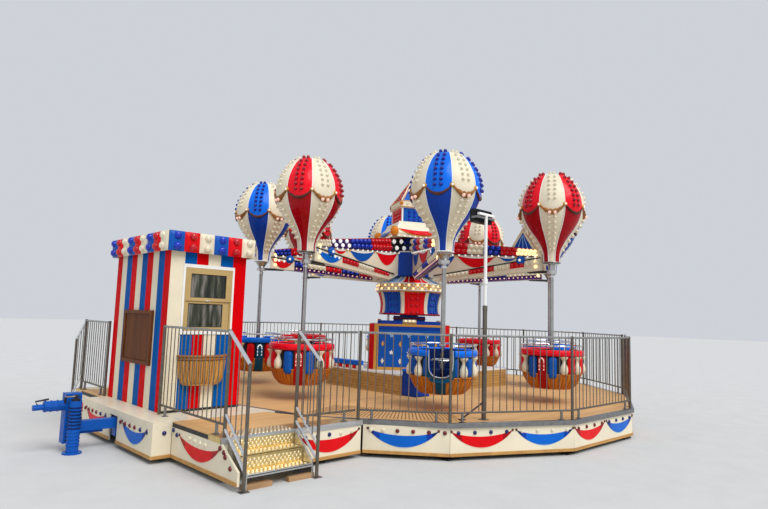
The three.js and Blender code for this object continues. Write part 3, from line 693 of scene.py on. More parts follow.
def gondola_wall(piece, own):
    half = math.degrees(math.asin(DOOR_HALF / WALL_R))
    azimuths = span(half, 360 - half, 60)
    outer = [around(WALL_R, azimuths, z) for z in (0.93, WALL_TOP)]
    piece.add(sheet_of(outer), "dark")
    inner = [around(WALL_R - 0.022, azimuths, z) for z in (0.93, WALL_TOP + 0.08)]
    piece.add(sheet_of(inner), "navy" if own == "blue" else "dark")
    rim_azimuths = span(half + 2, 358 - half, 64)
    section = []
    for i in range(12):
        a = math.tau * i / 12
        section.append((0.038 * math.copysign(abs(math.cos(a)) ** 0.6, math.cos(a)),
                        (RIM_Z[1] - RIM_Z[0]) / 2 * math.copysign(abs(math.sin(a)) ** 0.6, math.sin(a))))
    middle = (RIM_Z[0] + RIM_Z[1]) / 2
    rows = [[polar(RIM_R + dr, a, middle + dz) for dr, dz in section + section[:1]] for a in rim_azimuths]
    piece.add(sheet_of(rows), f"bright_{own}")
    for a in (rim_azimuths[0], rim_azimuths[-1]):
        ring = [polar(RIM_R + dr, a, middle + dz) for dr, dz in section]
        piece.add((ring, [tuple(range(12))]), f"bright_{own}")


def baluster_at(piece, azimuth):
    profile = [(0.03, 0.936), (0.056, 0.955), (0.063, 1.0), (0.058, 1.05), (0.036, 1.095), (0.024, 1.125),
               (0.03, 1.155), (0.055, 1.185), (0.063, 1.2), (0.063, 1.21), (0, 1.21)]
    at = polar(WALL_R + 0.012, azimuth)
    piece.add(moved(turned([(0, 0.936)] + profile, 16), at.x, at.y), "cream")


def pillow_panel(piece, azimuth, half, z, finish, proud=0.04):
    """A rounded panel that swells out of the wall."""
    columns, rows = 10, 14
    grid = []
    for i in range(rows + 1):
        v = math.sin(math.pi * (i / rows - 0.5))
        row = []
        for j in range(columns + 1):
            u = -1 + 2 * j / columns
            height = (1 - abs(u) ** 4) * (1 - abs(v) ** 6)
            round_in = max(0.3, (1 - abs(v) ** 9) ** 0.4)
            row.append(polar(WALL_R + 0.002 + proud * max(height, 0) ** 0.5, azimuth + half * u * round_in,
                             mix(z[0], z[1], (v + 1) / 2)))
        grid.append(row)
    piece.add(sheet_of(grid), finish)


def strap(piece, azimuth, finish, half_top, half_foot, z_top):
    """A coloured strap down the bowl, wider towards its foot."""
    line = [(r, z) for r, z in BOWL[1:]] + [(WALL_R + 0.012, 0.95), (WALL_R + 0.02, z_top)]
    rows = []
    for i, (r, z) in enumerate(line):
        share = i / (len(line) - 1)
        half = math.degrees(mix(half_foot, half_top, share) / r)
        rows.append([polar(r + 0.018, azimuth + half * u, z) for u in (-1, -0.9, -0.3, 0.3, 0.9, 1)])
        rows[-1][0] = polar(r + 0.004, azimuth - half, z)
        rows[-1][-1] = polar(r + 0.004, azimuth + half, z)
    piece.add(sheet_of(rows), finish)


def arch_lamps(piece, azimuth, finish):
    """A pale raised arch with small lamps on the closed side."""
    stops = [(-0.036, 1.0), (-0.036, 1.12), (-0.028, 1.16), (0, 1.18), (0.028, 1.16), (0.036, 1.12),
             (0.036, 1.0)]
    line = smooth_line(stops, 2)
    radius = WALL_R + 0.032
    path = [polar(radius, azimuth + math.degrees(x / radius), z) for x, z in line]
    piece.add(tube(path, 0.009, 6), finish)
    cap = "lamp_pink" if finish == "pink" else "lamp_white"
    for at in path:
        piece.lamp(at + polar(0.005, azimuth), polar(1, azimuth), cap, 0.011, 0.011)


def gondola(k):
    own, other = ARM_COLOURS[k % 2], ARM_COLOURS[(k + 1) % 2]
    trim = "teal" if own == "blue" else "deep_red"
    shell = Piece()
    bowl(shell)
    gondola_wall(shell, own)
    for side in (-1, 1):
        for azimuth in (42, 74, 106, 138):
            baluster_at(shell, side * azimuth)
        for azimuth in (58, 90, 122):
            pillow_panel(shell, side * azimuth, 8.2, (0.94, 1.205), own)
        pillow_panel(shell, 180 + side * 20, 8.6, (0.868, 1.208), other, 0.05)
        pillow_panel(shell, side * 27.5, 4.6, (0.94, 1.205), own, 0.03)
    strap(shell, 180, trim, 0.062, 0.085, 1.2)
    strap(shell, 0, trim, 0.0715, 0.0715, 0.93)
    arch_lamps(shell, 180, "pale_blue" if own == "blue" else "pink")

    # The border of the doorway, with its chrome line
    outer = doorway_line(WALL_R + 0.026, DOOR_HALF + 0.045, DOOR_FOOT - 0.08, 1.21)
    inner = doorway_line(WALL_R + 0.026, DOOR_HALF + 0.002, DOOR_FOOT, 1.21)
    back = [p * ((WALL_R - 0.03) / (WALL_R + 0.026)) for p in inner]
    for p, q in zip(back, inner):
        p.z = q.z
    shell.add(sheet_of([outer, inner]), trim)
    shell.add(sheet_of([inner, back]), f"deep_{own}")
    behind = [Vector((p.x * 0.999, p.y * 0.93, p.z)) for p in outer]
    shell.add(sheet_of([outer, behind]), f"deep_{own}")
    shell.add(tube(doorway_line(WALL_R + 0.034, DOOR_HALF, DOOR_FOOT - 0.004, RIM_Z[1]), 0.009, 8), "chrome")

    # Seat and floor
    half = math.degrees(math.asin(0.2 / 0.43))
    bench = [(0.235, 0.76), (0.235, 0.98), (0.245, 1.0), (0.42, 1.0), (0.43, 0.98)]
    shell.add(turned(bench, 40, half, 360 - 2 * half), "navy" if own == "blue" else "deep_red")
    shell.add(turned([(0, 0.762), (0.24, 0.762)], 32), "board_tan")
    spin_turn = Matrix.Rotation(math.radians(DOORWAYS[k]), 4, "Z")
    centre = Matrix.Translation(polar(RING_R, arm_azimuth(k)))
    place = centre @ spin_turn
    shell.points = [place @ Vector(p) for p in shell.points]
    shell.make(f"balloon_{k}_basket", f"balloon_{k}", [f"balloon_{k}_gondola"], sharp=45)

    # Pole, funnel, wheel and guard rail
    steel = Piece()
    head = [(0.036, 2.545), (0.05, 2.6), (0.08, 2.655), (0.115, 2.7), (0.115, NECK_FOOT)]
    if own == "red":
        head = [(POLE_R, 2.55), (0.05, 2.556), (0.056, 2.57), (0.06, 2.69), (0.115, 2.7), (0.115, NECK_FOOT)]
    steel.add(turned([(POLE_R, 0.762), (POLE_R, 2.5)] + head, 24), "pole_steel")
    for z in (2.5, 2.56, 1.36):
        steel.add(turned([(POLE_R, z - 0.014), (0.044, z - 0.012), (0.046, z), (0.044, z + 0.012),
                          (POLE_R, z + 0.014)], 24), "chrome")
    foot = [(POLE_R, 0.765), (0.09, 0.77), (0.09, 0.785), (0.045, 0.8), (POLE_R, 0.86)]
    steel.add(turned(foot, 24), "post_steel")
    wheel_z = 1.15
    wheel_r = 0.16
    steel.add(tube(around(wheel_r, span(0, 350, 35), wheel_z), 0.0115, 10, closed=True), "chrome")
    for a in (20, 140, 260):
        steel.add(tube([polar(0.03, a, wheel_z - 0.02), polar(wheel_r, a, wheel_z)], 0.008, 8), "chrome")
    steel.add(turned([(POLE_R, 1.1), (0.058, 1.105), (0.058, 1.165), (POLE_R, 1.18)], 24), "aluminium")
    gap = math.degrees(math.asin((DOOR_HALF + 0.03) / RAIL_R))
    bend = [polar(RAIL_R + 0.005, gap - 2.5, 1.34), polar(RAIL_R + 0.004, gap - 1.5, RAIL_Z - 0.012)]
    rail = around(RAIL_R, span(gap + 1, 359 - gap, 72), RAIL_Z)
    far_bend = [polar(RAIL_R + 0.004, 1.5 - gap, RAIL_Z - 0.012), polar(RAIL_R + 0.005, 2.5 - gap, 1.34)]
    steel.add(tube(bend + rail + far_bend, 0.0125, 10), "chrome")
    for a in (-138, -106, -74, -42, 42, 74, 106, 138):
        steel.add(tube([polar(RAIL_R, a, RIM_Z[1] - 0.01), polar(RAIL_R, a, RAIL_Z)], 0.007, 6), "chrome")
    steel.points = [place @ Vector(p) for p in steel.points]
    steel.make(f"balloon_{k}_pole", f"balloon_{k}", sharp=35)


# Sweep arms, each built along +X and then turned to its azimuth
ARM_HALF = 0.035
ARM_BOARD = ((0.205, 2.585), (0.32, 2.585), (0.74, 2.44), (2.705, 2.6), (2.705, 2.87), (2.625, 2.96),
             (0.205, 3.29))
BAND_TOP = ((0.205, 3.29), (2.625, 2.96))
BAND_FOOT = ((0.205, 3.005), (2.625, 2.845))
BORDER = ((0.58, 2.555), (2.705, 2.82))
ARM_FOOT = ((0.74, 2.44), (2.705, 2.6))
BAND_ENDS = ((0.35, "cream"), (0.66, "blue"), (0.97, "red"), (1.305, "cream"), (1.63, "blue"), (1.97, "red"),
             (2.27, "warm"), (2.63, None))
BLOCKS = {
    ("blue", -1): BAND_ENDS,
    ("red", -1): BAND_ENDS,
    ("blue", 1): ((0.24, "white"), (0.71, "red"), (1.1, "blue"), (1.45, "white"), (1.8, "cream"),
                  (2.05, "red"), (2.33, "blue"), (2.63, None)),
    ("red", 1): ((0.24, "white"), (0.71, "red"), (1.3, "blue"), (1.86, "lit"), (2.36, "cream"), (2.63, None)),
}
BLOCK_LOOKS = {
    "cream": ("cream", "lamp_cream"), "blue": ("navy", "lamp_blue"), "red": ("red", "lamp_red"),
    "warm": ("cream", "lamp_warm"), "white": ("black", "lamp_white"),
    "lit": ("plum", "lamp_white"),
}
ARM_SWAGS = {
    -1: ((0.5, 1.03, "blue", 0.24), (1.08, 1.84, "red", 0.2), (1.93, 2.25, "blue", 0.07)),
    1: ((0.5, 1.12, "red", 0.23), (1.2, 1.86, "blue", 0.18), (1.95, 2.25, "red", 0.07)),
}
GROUPS = {
    ("blue", -1): ((0.74, "blue"), (1.1, "cream"), (1.5, "blue"), (1.95, "cream"), (2.69, None)),
    ("red", -1): ((0.74, "cream"), (1.33, "red"), (1.83, "cream"), (2.14, "red"), (2.4, "cream"),
                  (2.69, None)),
    ("blue", 1): ((0.74, "red"), (1.0, "blue"), (1.35, "red"), (1.65, "cream"), (2.0, "blue"),
                  (2.25, "swag"), (2.69, None)),
    ("red", 1): ((0.74, "red"), (1.2, "cream"), (1.63, "red"), (2.05, "swag"), (2.69, None)),
}
CREST = ((2.14, 2.98), (2.61, 2.93), (2.365, 3.33))
CRESTED = (1, 5)


def on_line(line, r):
    (r0, z0), (r1, z1) = line
    return mix(z0, z1, (r - r0) / (r1 - r0))


def on_side(side):
    """Takes (radius, height, out of the face) to an arm's own axes, on its side -1 or 1."""
    return Matrix(((1, 0, 0, 0), (0, 0, side, side * ARM_HALF), (0, 1, 0, 0), (0, 0, 0, 1)))


def swag_shape(left, right, sag_top, sag_foot, thick, parts=16):
    """A hanging crescent between two points of a face, with pointed ends."""
    top, foot = [], []
    for i in range(parts + 1):
        share = i / parts
        x, y = mix(left[0], right[0], share), mix(left[1], right[1], share)
        dip = 4 * share * (1 - share)
        top.append((x, y - sag_top * dip))
        foot.append((x, y - sag_foot * dip))
    return plate(top + foot[-2:0:-1], 0, thick)


def block_caps(piece, place, r0, r1, cap):
    """Two staggered rows of lamp caps that fill a block of the band."""
    low, high = (mix(on_line(line, r0), on_line(line, r1), 0.5) for line in (BAND_FOOT, BAND_TOP))
    size = min(0.046, (high - low) * 0.25)
    pitch = size * (4.2 if cap == "lamp_white" else 2.3)
    count = max(2, round((r1 - r0) / pitch))
    for j in range(count):
        for row, share in enumerate((0.74, 0.27)):
            at = (j + (0.3 if row else 0.7)) / count
            r = mix(r0, r1, at)
            z = mix(on_line(BAND_FOOT, r), on_line(BAND_TOP, r), share)
            piece.lamp_on(place, (r, z, 0.014), cap, size, size * 0.95)


def border_swag(piece, place, ends, colour):
    """The plain outer end of the lower border, with a swag and three white lamps."""
    (ra, la, ha), (rb, lb, hb) = ends
    piece.on(place, plate([(ra, la), (rb, lb), (rb, hb), (ra, ha)], 0, 0.008), "cream")
    hung = swag_shape((ra + 0.02, ha - 0.014), (rb, hb - 0.014), 0.02, 0.85 * (ha - la), 0.014)
    piece.on(place, hung, colour)
    for step in (0.09, 0.19, 0.29):
        at = (ra + step, on_line(BORDER, ra + step) - 0.05, 0.012)
        piece.lamp_on(place, at, "lamp_white", 0.022)


def border_groups(piece, place, side, own):
    """Groups of long caps below the sloping border, on a blue arm over a dark strip with small lamps."""
    strip = 0.45  # share of the height that the strip takes
    groups = GROUPS[own, side]
    for (r0, look), (r1, _) in zip(groups, groups[1:]):
        ends = []
        for r in (r0 + 0.004, r1 - 0.004):
            low, high = on_line(ARM_FOOT, r) + 0.01, on_line(BORDER, r) - 0.012
            ends.append((r, low, mix(low, high, strip), high))
        (ra, la, ma, ha), (rb, lb, mb, hb) = ends
        if look == "swag":
            colour = "red" if own == "blue" else "swag_blue"
            border_swag(piece, place, ((ra, la, ha), (rb, lb, hb)), colour)
            continue
        paint_name, cap = BLOCK_LOOKS[look]
        piece.on(place, plate([(ra, ma), (rb, mb), (rb, hb), (ra, ha)], 0, 0.014), paint_name)
        strip_look = "plum" if own == "blue" else "cream"
        piece.on(place, plate([(ra, la), (rb, lb), (rb, mb), (ra, ma)], 0, 0.008), strip_look)
        count = max(2, round((r1 - r0) / 0.088))
        for j in range(count):
            share = (j + 0.5) / count
            r, middle, high = mix(ra, rb, share), mix(ma, mb, share), mix(ha, hb, share)
            tall = (high - middle) * 0.46
            oval = placed(lamp_cap(0.036, 0.034), Matrix.Diagonal((1, tall / 0.036, 1, 1)))
            spot = place @ Matrix.Translation((r, mix(middle, high, 0.5), 0.012))
            piece.on(spot, oval, cap)
            if own == "blue":
                z = mix(mix(la, lb, share), middle, 0.55)
                piece.lamp_on(place, (r, z, 0.006), "lamp_pink", 0.018, 0.018)
                z = mix(mix(la, lb, share), middle, 0.12)
                piece.lamp_on(place, (r + 0.04, z, 0.006), "lamp_purple", 0.014, 0.012)


def arm_face(piece, side, own):
    place = on_side(side)
    blocks = BLOCKS[own, side]
    for (r0, look), (r1, _) in zip(blocks, blocks[1:]):
        paint_name, cap = BLOCK_LOOKS[look]
        outline = [(r0, on_line(BAND_FOOT, r0)), (r1 - 0.006, on_line(BAND_FOOT, r1)),
                   (r1 - 0.006, on_line(BAND_TOP, r1)), (r0, on_line(BAND_TOP, r0))]
        piece.on(place, plate(outline, 0, 0.016), paint_name)
        block_caps(piece, place, r0, r1 - 0.006, cap)
    for line, drop, finish in ((BAND_TOP, 0.006, "deep_red"), (BAND_FOOT, 0.004, "plum")):
        ends = [place @ Vector((r, on_line(line, r) - drop, 0.012)) for r in (0.24, 2.64)]
        piece.add(tube(ends, 0.009, 6), finish)
    for r in span(0.32, 2.6, 17):
        piece.lamp_on(place, (r, on_line(BAND_FOOT, r) - 0.018, 0.008), "lamp_white", 0.02, 0.02)
    for r0, r1, colour, depth in ARM_SWAGS[side]:
        left = (r0, on_line(BAND_FOOT, r0) - 0.034)
        right = (r1, on_line(BAND_FOOT, r1) - 0.034)
        pale = min(0.036, depth * 0.3)
        piece.on(place, swag_shape(left, right, pale, depth, 0.006), colour)
        piece.on(place, swag_shape(left, right, 0.004, pale, 0.012), "white")
        for end in (left, right):
            piece.lamp_on(place, (*end, 0.0), "gold", 0.02)

    ends = [place @ Vector((r, on_line(BORDER, r), 0.01)) for r in (0.58, 2.69)]
    piece.add(tube(ends, 0.011, 6), "black")
    border_groups(piece, place, side, own)
    ball = lamp_cap(0.085, 0.06)
    piece.add(placed(ball, facing(place @ Vector((2.34, 2.785, 0.0)), (0, side, 0))), "blue")
    piece.lamp_on(place, (2.34, 2.785, 0.05), "lamp_white", 0.026)
    for z in (2.86, 2.76, 2.67):
        piece.lamp_on(place, (2.61, z, 0.0), "lamp_warm", 0.036)


def crest(piece):
    place = on_side(-1)
    half = 0.025
    piece.on(place, plate(CREST, -ARM_HALF - half, -ARM_HALF + half), "cream")
    corners = [Vector(c) for c in CREST]
    middle = sum(corners, Vector((0, 0))) / 3
    inner = [c.lerp(middle, 0.26) for c in corners]
    for side in (-1, 1):
        face = Matrix(((1, 0, 0, 0), (0, 0, side, side * half), (0, 1, 0, 0), (0, 0, 0, 1)))
        piece.on(face, plate(inner, 0.0, 0.005), "deep_blue")
        for a, b in zip(corners, corners[1:] + corners[:1]):
            ends = [face @ Vector((*p, 0.0)) for p in (a, b)]
            piece.add(tube(ends, 0.011, 6), "cream")
        for share in (0.25, 0.5, 0.75):
            low = inner[0].lerp(inner[1], share)
            high = inner[2].lerp(low, 0.18)
            ends = [face @ Vector((*p, 0.005)) for p in (low, high)]
            piece.add(tube(ends, 0.007, 6), "pale_blue")


HUB_LINE = ((0.2, 2.586), (0.29, 2.586), (0.45, 2.531), (0.468, 2.541), (0.468, 3.004), (0.2, 3.004))


def hub(piece):
    """The eight-sided body between the arms and the ring of lamp blocks above it."""
    facets(piece, HUB_LINE, ("deep_blue",), corner_azimuth(0))
    ring = [polar(0.469, arm_azimuth(i), 2.995) for i in range(8)]
    piece.add(tube(ring, 0.011, 6, closed=True), "white")
    for i in range(8):
        azimuth = corner_azimuth(i)
        outward = polar(1, azimuth)
        paint_name, cap = BLOCK_LOOKS["blue" if i % 2 else "cream"]
        face = facing(polar(0.27, azimuth, 3.0), outward)
        piece.on(face, slab((-0.1, 0.1), (0.006, 0.26), (-0.04, 0.0)), paint_name)
        for x, y in ((-0.055, 0.19), (0.055, 0.19), (-0.055, 0.08), (0.055, 0.08)):
            piece.lamp_on(face, (x, y, 0.0), cap, 0.034)
    piece.add(turned([(0.19, 3.0), (0.25, 3.0), (0.25, 3.285), (0.19, 3.285)], 32), "deep_blue")


def sweep_arms():
    piece = Piece()
    for k in range(8):
        arm = Piece()
        own = ARM_COLOURS[k % 2]
        place = on_side(-1)
        arm.on(place, plate(ARM_BOARD, -2 * ARM_HALF, 0), "cream")
        for side in (-1, 1):
            arm_face(arm, side, own)
        # The underside of the board: cream on a red arm, and dark plum on a blue arm, partly painted shade
        # under the board
        under = [[(r, y, z - 0.003) for y in (ARM_HALF, -ARM_HALF)] for r, z in ARM_FOOT]
        arm.add(sheet_of(under), "plum" if own == "blue" else "cream")
        if k in CRESTED:
            crest(arm)
        arm.add(slab((2.45, 2.8), (-0.03, 0.03), (2.56, 2.6)), "dark_steel")
        socket = turned([(0.06, 2.55), (0.082, 2.55), (0.088, 2.6), (0.06, 2.6), (0.06, 2.55)], 24)
        arm.add(moved(socket, RING_R), "aluminium")
        turn = Matrix.Rotation(math.radians(arm_azimuth(k) - 90), 4, "Z")
        piece.join(arm, turn)
    hub(piece)
    piece.make("arm_boards", "rotor", ["sweep_arms"], sharp=45)


# Eight-sided pieces: corners halfway between the arms, one facet facing each arm
def facets(piece, profile, colours, start=FIRST_AZIMUTH, sides=8):
    half = 180 / sides
    for i in range(sides):
        azimuth = start + 2 * half * i
        rows = [[polar(r, azimuth - half, z), polar(r, azimuth + half, z)] for r, z in profile]
        piece.add(sheet_of(rows), colours[i % len(colours)])


def corner_ribs(piece, profile, radius, finish):
    for i in range(8):
        line = [polar(r, corner_azimuth(i), z) for r, z in profile]
        piece.add(tube(line, radius, 6), finish)


APOTHEM = math.cos(math.radians(22.5))
CROWN_STOPS = ((1.8, 0.6), (1.92, 0.578), (2.05, 0.585), (2.16, 0.612), (2.245, 0.65))
CROWN_LINE = [(r, z) for z, r in smooth_line(CROWN_STOPS, 4)]


def facet_face(i, radius, z):
    azimuth = arm_azimuth(i)
    return facing(polar(radius * APOTHEM, azimuth, z), polar(1, azimuth))


def striped_crown():
    piece = Piece()
    facets(piece, CROWN_LINE, ("red", "blue"))
    facets(piece, [(0.6, 1.8), (0.54, 1.8), (0.53, 2.05), (0.54, 2.245)], ("dark",))
    for i in range(8):
        cap = "lamp_red" if i % 2 == 0 else "lamp_blue"
        edge = "bright_red" if i % 2 == 0 else "deep_blue"
        for r, z in CROWN_LINE[2::4]:
            for x in (-0.05, 0.05):
                face = facet_face(i, r, z)
                piece.lamp_on(face, (x, 0, 0), cap, 0.03)
        for x in (-0.115, 0.115):
            line = [facet_face(i, r, z) @ Vector((x, 0, 0.004)) for r, z in CROWN_LINE]
            piece.add(tube(line, 0.01, 6), edge)
        azimuth = corner_azimuth(i)
        rows = []
        for r, z in CROWN_LINE:
            middle = polar(r + 0.008, azimuth, z)
            sides = [polar(r * APOTHEM, azimuth + s * 22.5, z) for s in (-1, 1)]
            left, right = (polar(r, azimuth, z).lerp(p, 0.17) for p in sides)
            lift = polar(0.008, azimuth)
            rows.append([left, left + lift, middle, right + lift, right])
        piece.add(sheet_of(rows), "cream")
    for r, z, size, finish in ((0.598, 1.812, 0.016, "deep_red"), (0.652, 2.236, 0.014, "gold")):
        ring = [polar(r, corner_azimuth(i), z) for i in range(8)]
        piece.add(tube(ring, size, 6, closed=True), finish)
    piece.make("crown_panels", "rotor", ["striped_crown"], sharp=35)


def lamp_ring():
    piece = Piece()
    facets(piece, [(0.56, 2.25), (0.675, 2.25), (0.675, 2.385), (0.62, 2.4)], ("gold",))
    facets(piece, [(0.56, 2.25), (0.54, 2.38), (0.24, 2.57)], ("dark",))
    for z in (2.256, 2.384):
        ring = [polar(0.68, corner_azimuth(i), z) for i in range(8)]
        piece.add(tube(ring, 0.012, 6, closed=True), "white")
    for i in range(8):
        outward = polar(1, arm_azimuth(i))
        for j in range(6):
            x = (j - 2.5) * 0.083
            for y, shift in ((0.036, 1), (0.1, 0)):
                at = facet_face(i, 0.675, 2.25) @ Vector((x, y, 0.0))
                piece.lamp(at, outward, "lamp_warm" if (j + shift) % 2 else "lamp_cream", 0.024)
            face = facet_face(i, 0.675, 2.25) @ Matrix.Translation((x + 0.0415, 0.068, 0.0))
            if j < 5:
                diamond = [(-0.022, 0), (0, -0.034), (0.022, 0), (0, 0.034)]
                piece.on(face, plate(diamond, 0, 0.007), "cream")
    roof = [(0.655, 2.395), (0.5, 2.455), (0.38, 2.515), (0.285, 2.582)]
    facets(piece, roof, ("red", "pale_blue", "blue", "pale_blue"))
    corner_ribs(piece, roof, 0.016, "cream")
    for i in range(8):
        for side in (-1, 1):
            ends = [facet_face(i, r, z + 0.004) @ Vector((side * r * 0.2, 0, 0)) for r, z in roof[::3]]
            piece.add(tube(ends, 0.008, 6), "cream")
    piece.add(turned([(0.2, 2.575), (0.29, 2.575), (0.29, 2.584), (0.2, 2.584)], 32), "deep_blue")
    piece.make("lamp_ring_boards", "rotor", ["lamp_ring"], sharp=35)


# The four-sided tower: its first face looks towards -Y and its neighbours are 90 degrees apart
TOWER_FACE = FIRST_AZIMUTH + 10
DISH_LINE = ((0.735, 3.252), (0.765, 3.252), (0.772, 3.33), (0.72, 3.36), (0.64, 3.42), (0.57, 3.48),
             (0.54, 3.525), (0.52, 3.574))
DRUM_LINE = ((0.425, 3.576), (0.425, 3.85))
CORNICE_LINE = ((0.425, 3.85), (0.47, 3.862), (0.48, 3.872), (0.472, 3.93), (0.48, 3.985), (0.46, 3.995))
CONE_LINE = ((0.455, 3.9955), (0.385, 4.07), (0.29, 4.17), (0.22, 4.26), (0.14, 4.345),
             (0.08, 4.41), (0.035, 4.47))


def on_tower(line, face, across, z, out=0.0):
    """A point of a tower face; across runs from -1 to 1 between its corners."""
    radius = line[-1][0]
    for (r0, z0), (r1, z1) in zip(line, line[1:]):
        if min(z0, z1) <= z <= max(z0, z1) and z1 != z0:
            radius = mix(r0, r1, (z - z0) / (z1 - z0))
            break
    azimuth = TOWER_FACE + 90 * face
    half = radius / math.sqrt(2)
    side = Vector((0, 0, 1)).cross(polar(1, azimuth))
    return polar(half + out, azimuth, z) + side * (across * half)


def tower_swag(piece, face, colour):
    """A draped swag over one side of the dish, from corner to corner."""
    columns, rows = 22, 4
    grid = []
    for i in range(columns + 1):
        across = mix(-0.9, 0.9, i / columns)
        dip = 1 - (across / 0.9) ** 2
        high, low = 3.425 - 0.03 * dip, 3.415 - 0.13 * dip
        grid.append([on_tower(DISH_LINE, face, across, mix(low, high, j / rows),
                              0.01 + 0.022 * math.sin(math.pi * j / rows) * dip ** 0.5)
                     for j in range(rows + 1)])
    piece.add(sheet_of(grid), colour)
    for edge, size, finish in ((0, 0.008, "gold"), (rows, 0.01, "white")):
        piece.add(tube([row[edge] for row in grid], size, 6), finish)


def top_dish():
    piece = Piece()
    facets(piece, ((0.0, 3.3), (0.735, 3.3)) + DISH_LINE + ((0.0, 3.574),), ("cream",), TOWER_FACE, 4)
    for i in range(4):
        tower_swag(piece, i, "red" if i % 2 == 0 else "blue")
        azimuth = TOWER_FACE + 45 + 90 * i
        ball = [(0.0, -0.1), (0.035, -0.092), (0.062, -0.066), (0.078, -0.02), (0.078, 0.03), (0.06, 0.072),
                (0.032, 0.094), (0.0, 0.1)]
        at = polar(0.735, azimuth, 3.352)
        piece.add(moved(turned(ball, 20), at.x, at.y, at.z), "orange")
        for z, r in ((3.352 + 0.075, 0.062), (3.352 - 0.068, 0.064)):
            band = turned([(r - 0.01, -0.008), (r, -0.006), (r, 0.006), (r - 0.01, 0.008)], 20)
            piece.add(moved(band, at.x, at.y, z), "gold")
        line = [polar(r, azimuth, z) for r, z in DISH_LINE[3:]]
        piece.add(tube(line, 0.014, 6), "white")
        for j in range(9):
            across = -0.8 + 0.2 * j
            at = on_tower(DISH_LINE, i, across, 3.268, -0.004)
            piece.lamp(at, polar(1, TOWER_FACE + 90 * i), "lamp_white", 0.016, 0.016)
    piece.make("dish_petals", "rotor", ["top_dish"], sharp=30)


def tower():
    drum = Piece()
    facets(drum, ((0.0, 3.576),) + DRUM_LINE, ("blue", "red"), TOWER_FACE, 4)
    facets(drum, CORNICE_LINE + ((0.0, 3.995),), ("cream",), TOWER_FACE, 4)
    for i in range(4):
        azimuth = TOWER_FACE + 90 * i
        outward = polar(1, azimuth)
        cap = "lamp_blue" if i % 2 == 0 else "lamp_red"
        for z in (3.63, 3.705, 3.78):
            for across in (-0.52, -0.17, 0.17, 0.52):
                drum.lamp(on_tower(DRUM_LINE, i, across, z, -0.003), outward, cap, 0.033)
        post = slab((-0.014, 0.014), (-0.014, 0.014), (3.5765, 3.851))
        corner_at = polar(0.419, azimuth + 45)
        turn = Matrix.Translation(corner_at) @ Matrix.Rotation(math.radians(azimuth), 4, "Z")
        drum.on(turn, post, "white")
        corner_face = facing(polar(0.468, azimuth + 45, 3.93), polar(1, azimuth + 45))
        drum.on(corner_face, lamp_cap(0.042, 0.012), "orange")
        for across in (-0.62, -0.31, 0.0, 0.31, 0.62):
            drum.lamp(on_tower(CORNICE_LINE, i, across, 3.93, -0.002), outward, "lamp_cream", 0.028)
        for z in (3.874, 3.984):
            path = [on_tower(CORNICE_LINE, i, across, z, 0.0) for across in (-1, 1)]
            drum.add(tube(path, 0.007, 6), "gold")
    drum.make("drum_panels", "rotor", ["tower_drum"], sharp=30)

    cone = Piece()
    facets(cone, ((0.0, 3.9955),) + CONE_LINE + ((0.0, 4.472),), ("blue", "red"), TOWER_FACE, 4)
    for i in range(4):
        outward = polar(1, TOWER_FACE + 90 * i, 0.6)
        cap = "lamp_navy" if i % 2 == 0 else "lamp_maroon"
        for z, row in ((4.045, (-0.45, 0.0, 0.45)), (4.12, (-0.35, 0.35)), (4.2, (0.0,)), (4.28, (0.0,))):
            for across in row:
                cone.lamp(on_tower(CONE_LINE, i, across, z, -0.004), outward, cap, 0.026)
        for across in (-1, 1):
            path = [on_tower(CONE_LINE, i, across * 0.9, z, 0.002) for r, z in CONE_LINE[:-1]]
            cone.add(tube(path, 0.007, 6), "gold")
        line = [polar(r, TOWER_FACE + 45 + 90 * i, z) for r, z in CONE_LINE]
        cone.add(tube(line, 0.013, 6), "cream")
    cone.add(turned([(0, 4.445), (0.034, 4.455), (0.04, 4.475), (0.028, 4.492), (0, 4.5)], 16), "gold")
    cone.make("cone_panels", "rotor", ["tower_cone"], sharp=30)


# Decks
def clipped(outline, low, high):
    """The part of a convex outline between two values of y."""
    for limit, sign in ((low, 1), (high, -1)):
        kept = []
        for a, b in zip(outline, outline[1:] + outline[:1]):
            da, db = sign * (a[1] - limit), sign * (b[1] - limit)
            if da >= 0:
                kept.append(a)
            if da * db < 0:
                t = da / (da - db)
                kept.append((mix(a[0], b[0], t), mix(a[1], b[1], t)))
        outline = kept
    return outline


BOARD_WIDE = 0.3
BOARD_GAP = 0.005


def boards(piece, outline):
    low = min(y for _, y in outline)
    high = max(y for _, y in outline)
    count = max(1, round((high - low) / BOARD_WIDE))
    for y0, y1 in zip(span(low, high, count), span(low, high, count)[1:]):
        strip = clipped(outline, y0 + BOARD_GAP / 2, y1 - BOARD_GAP / 2)
        if len(strip) > 2:
            piece.add(plate(strip, DECK_TOP - 0.012, DECK_TOP), "board_tan")
    piece.add(plate(outline, DECK_FOOT, DECK_TOP - 0.013), "dark_steel")


def corner(i, radius=PLATFORM_R):
    p = polar(radius, (i - 0.5) * 360 / SIDES)
    return (p.x, p.y)


RADIAL_AZIMUTHS = (-66, -36)
RADIAL_RADII = (3.02, 3.84)
RADIAL_COUNT = 40


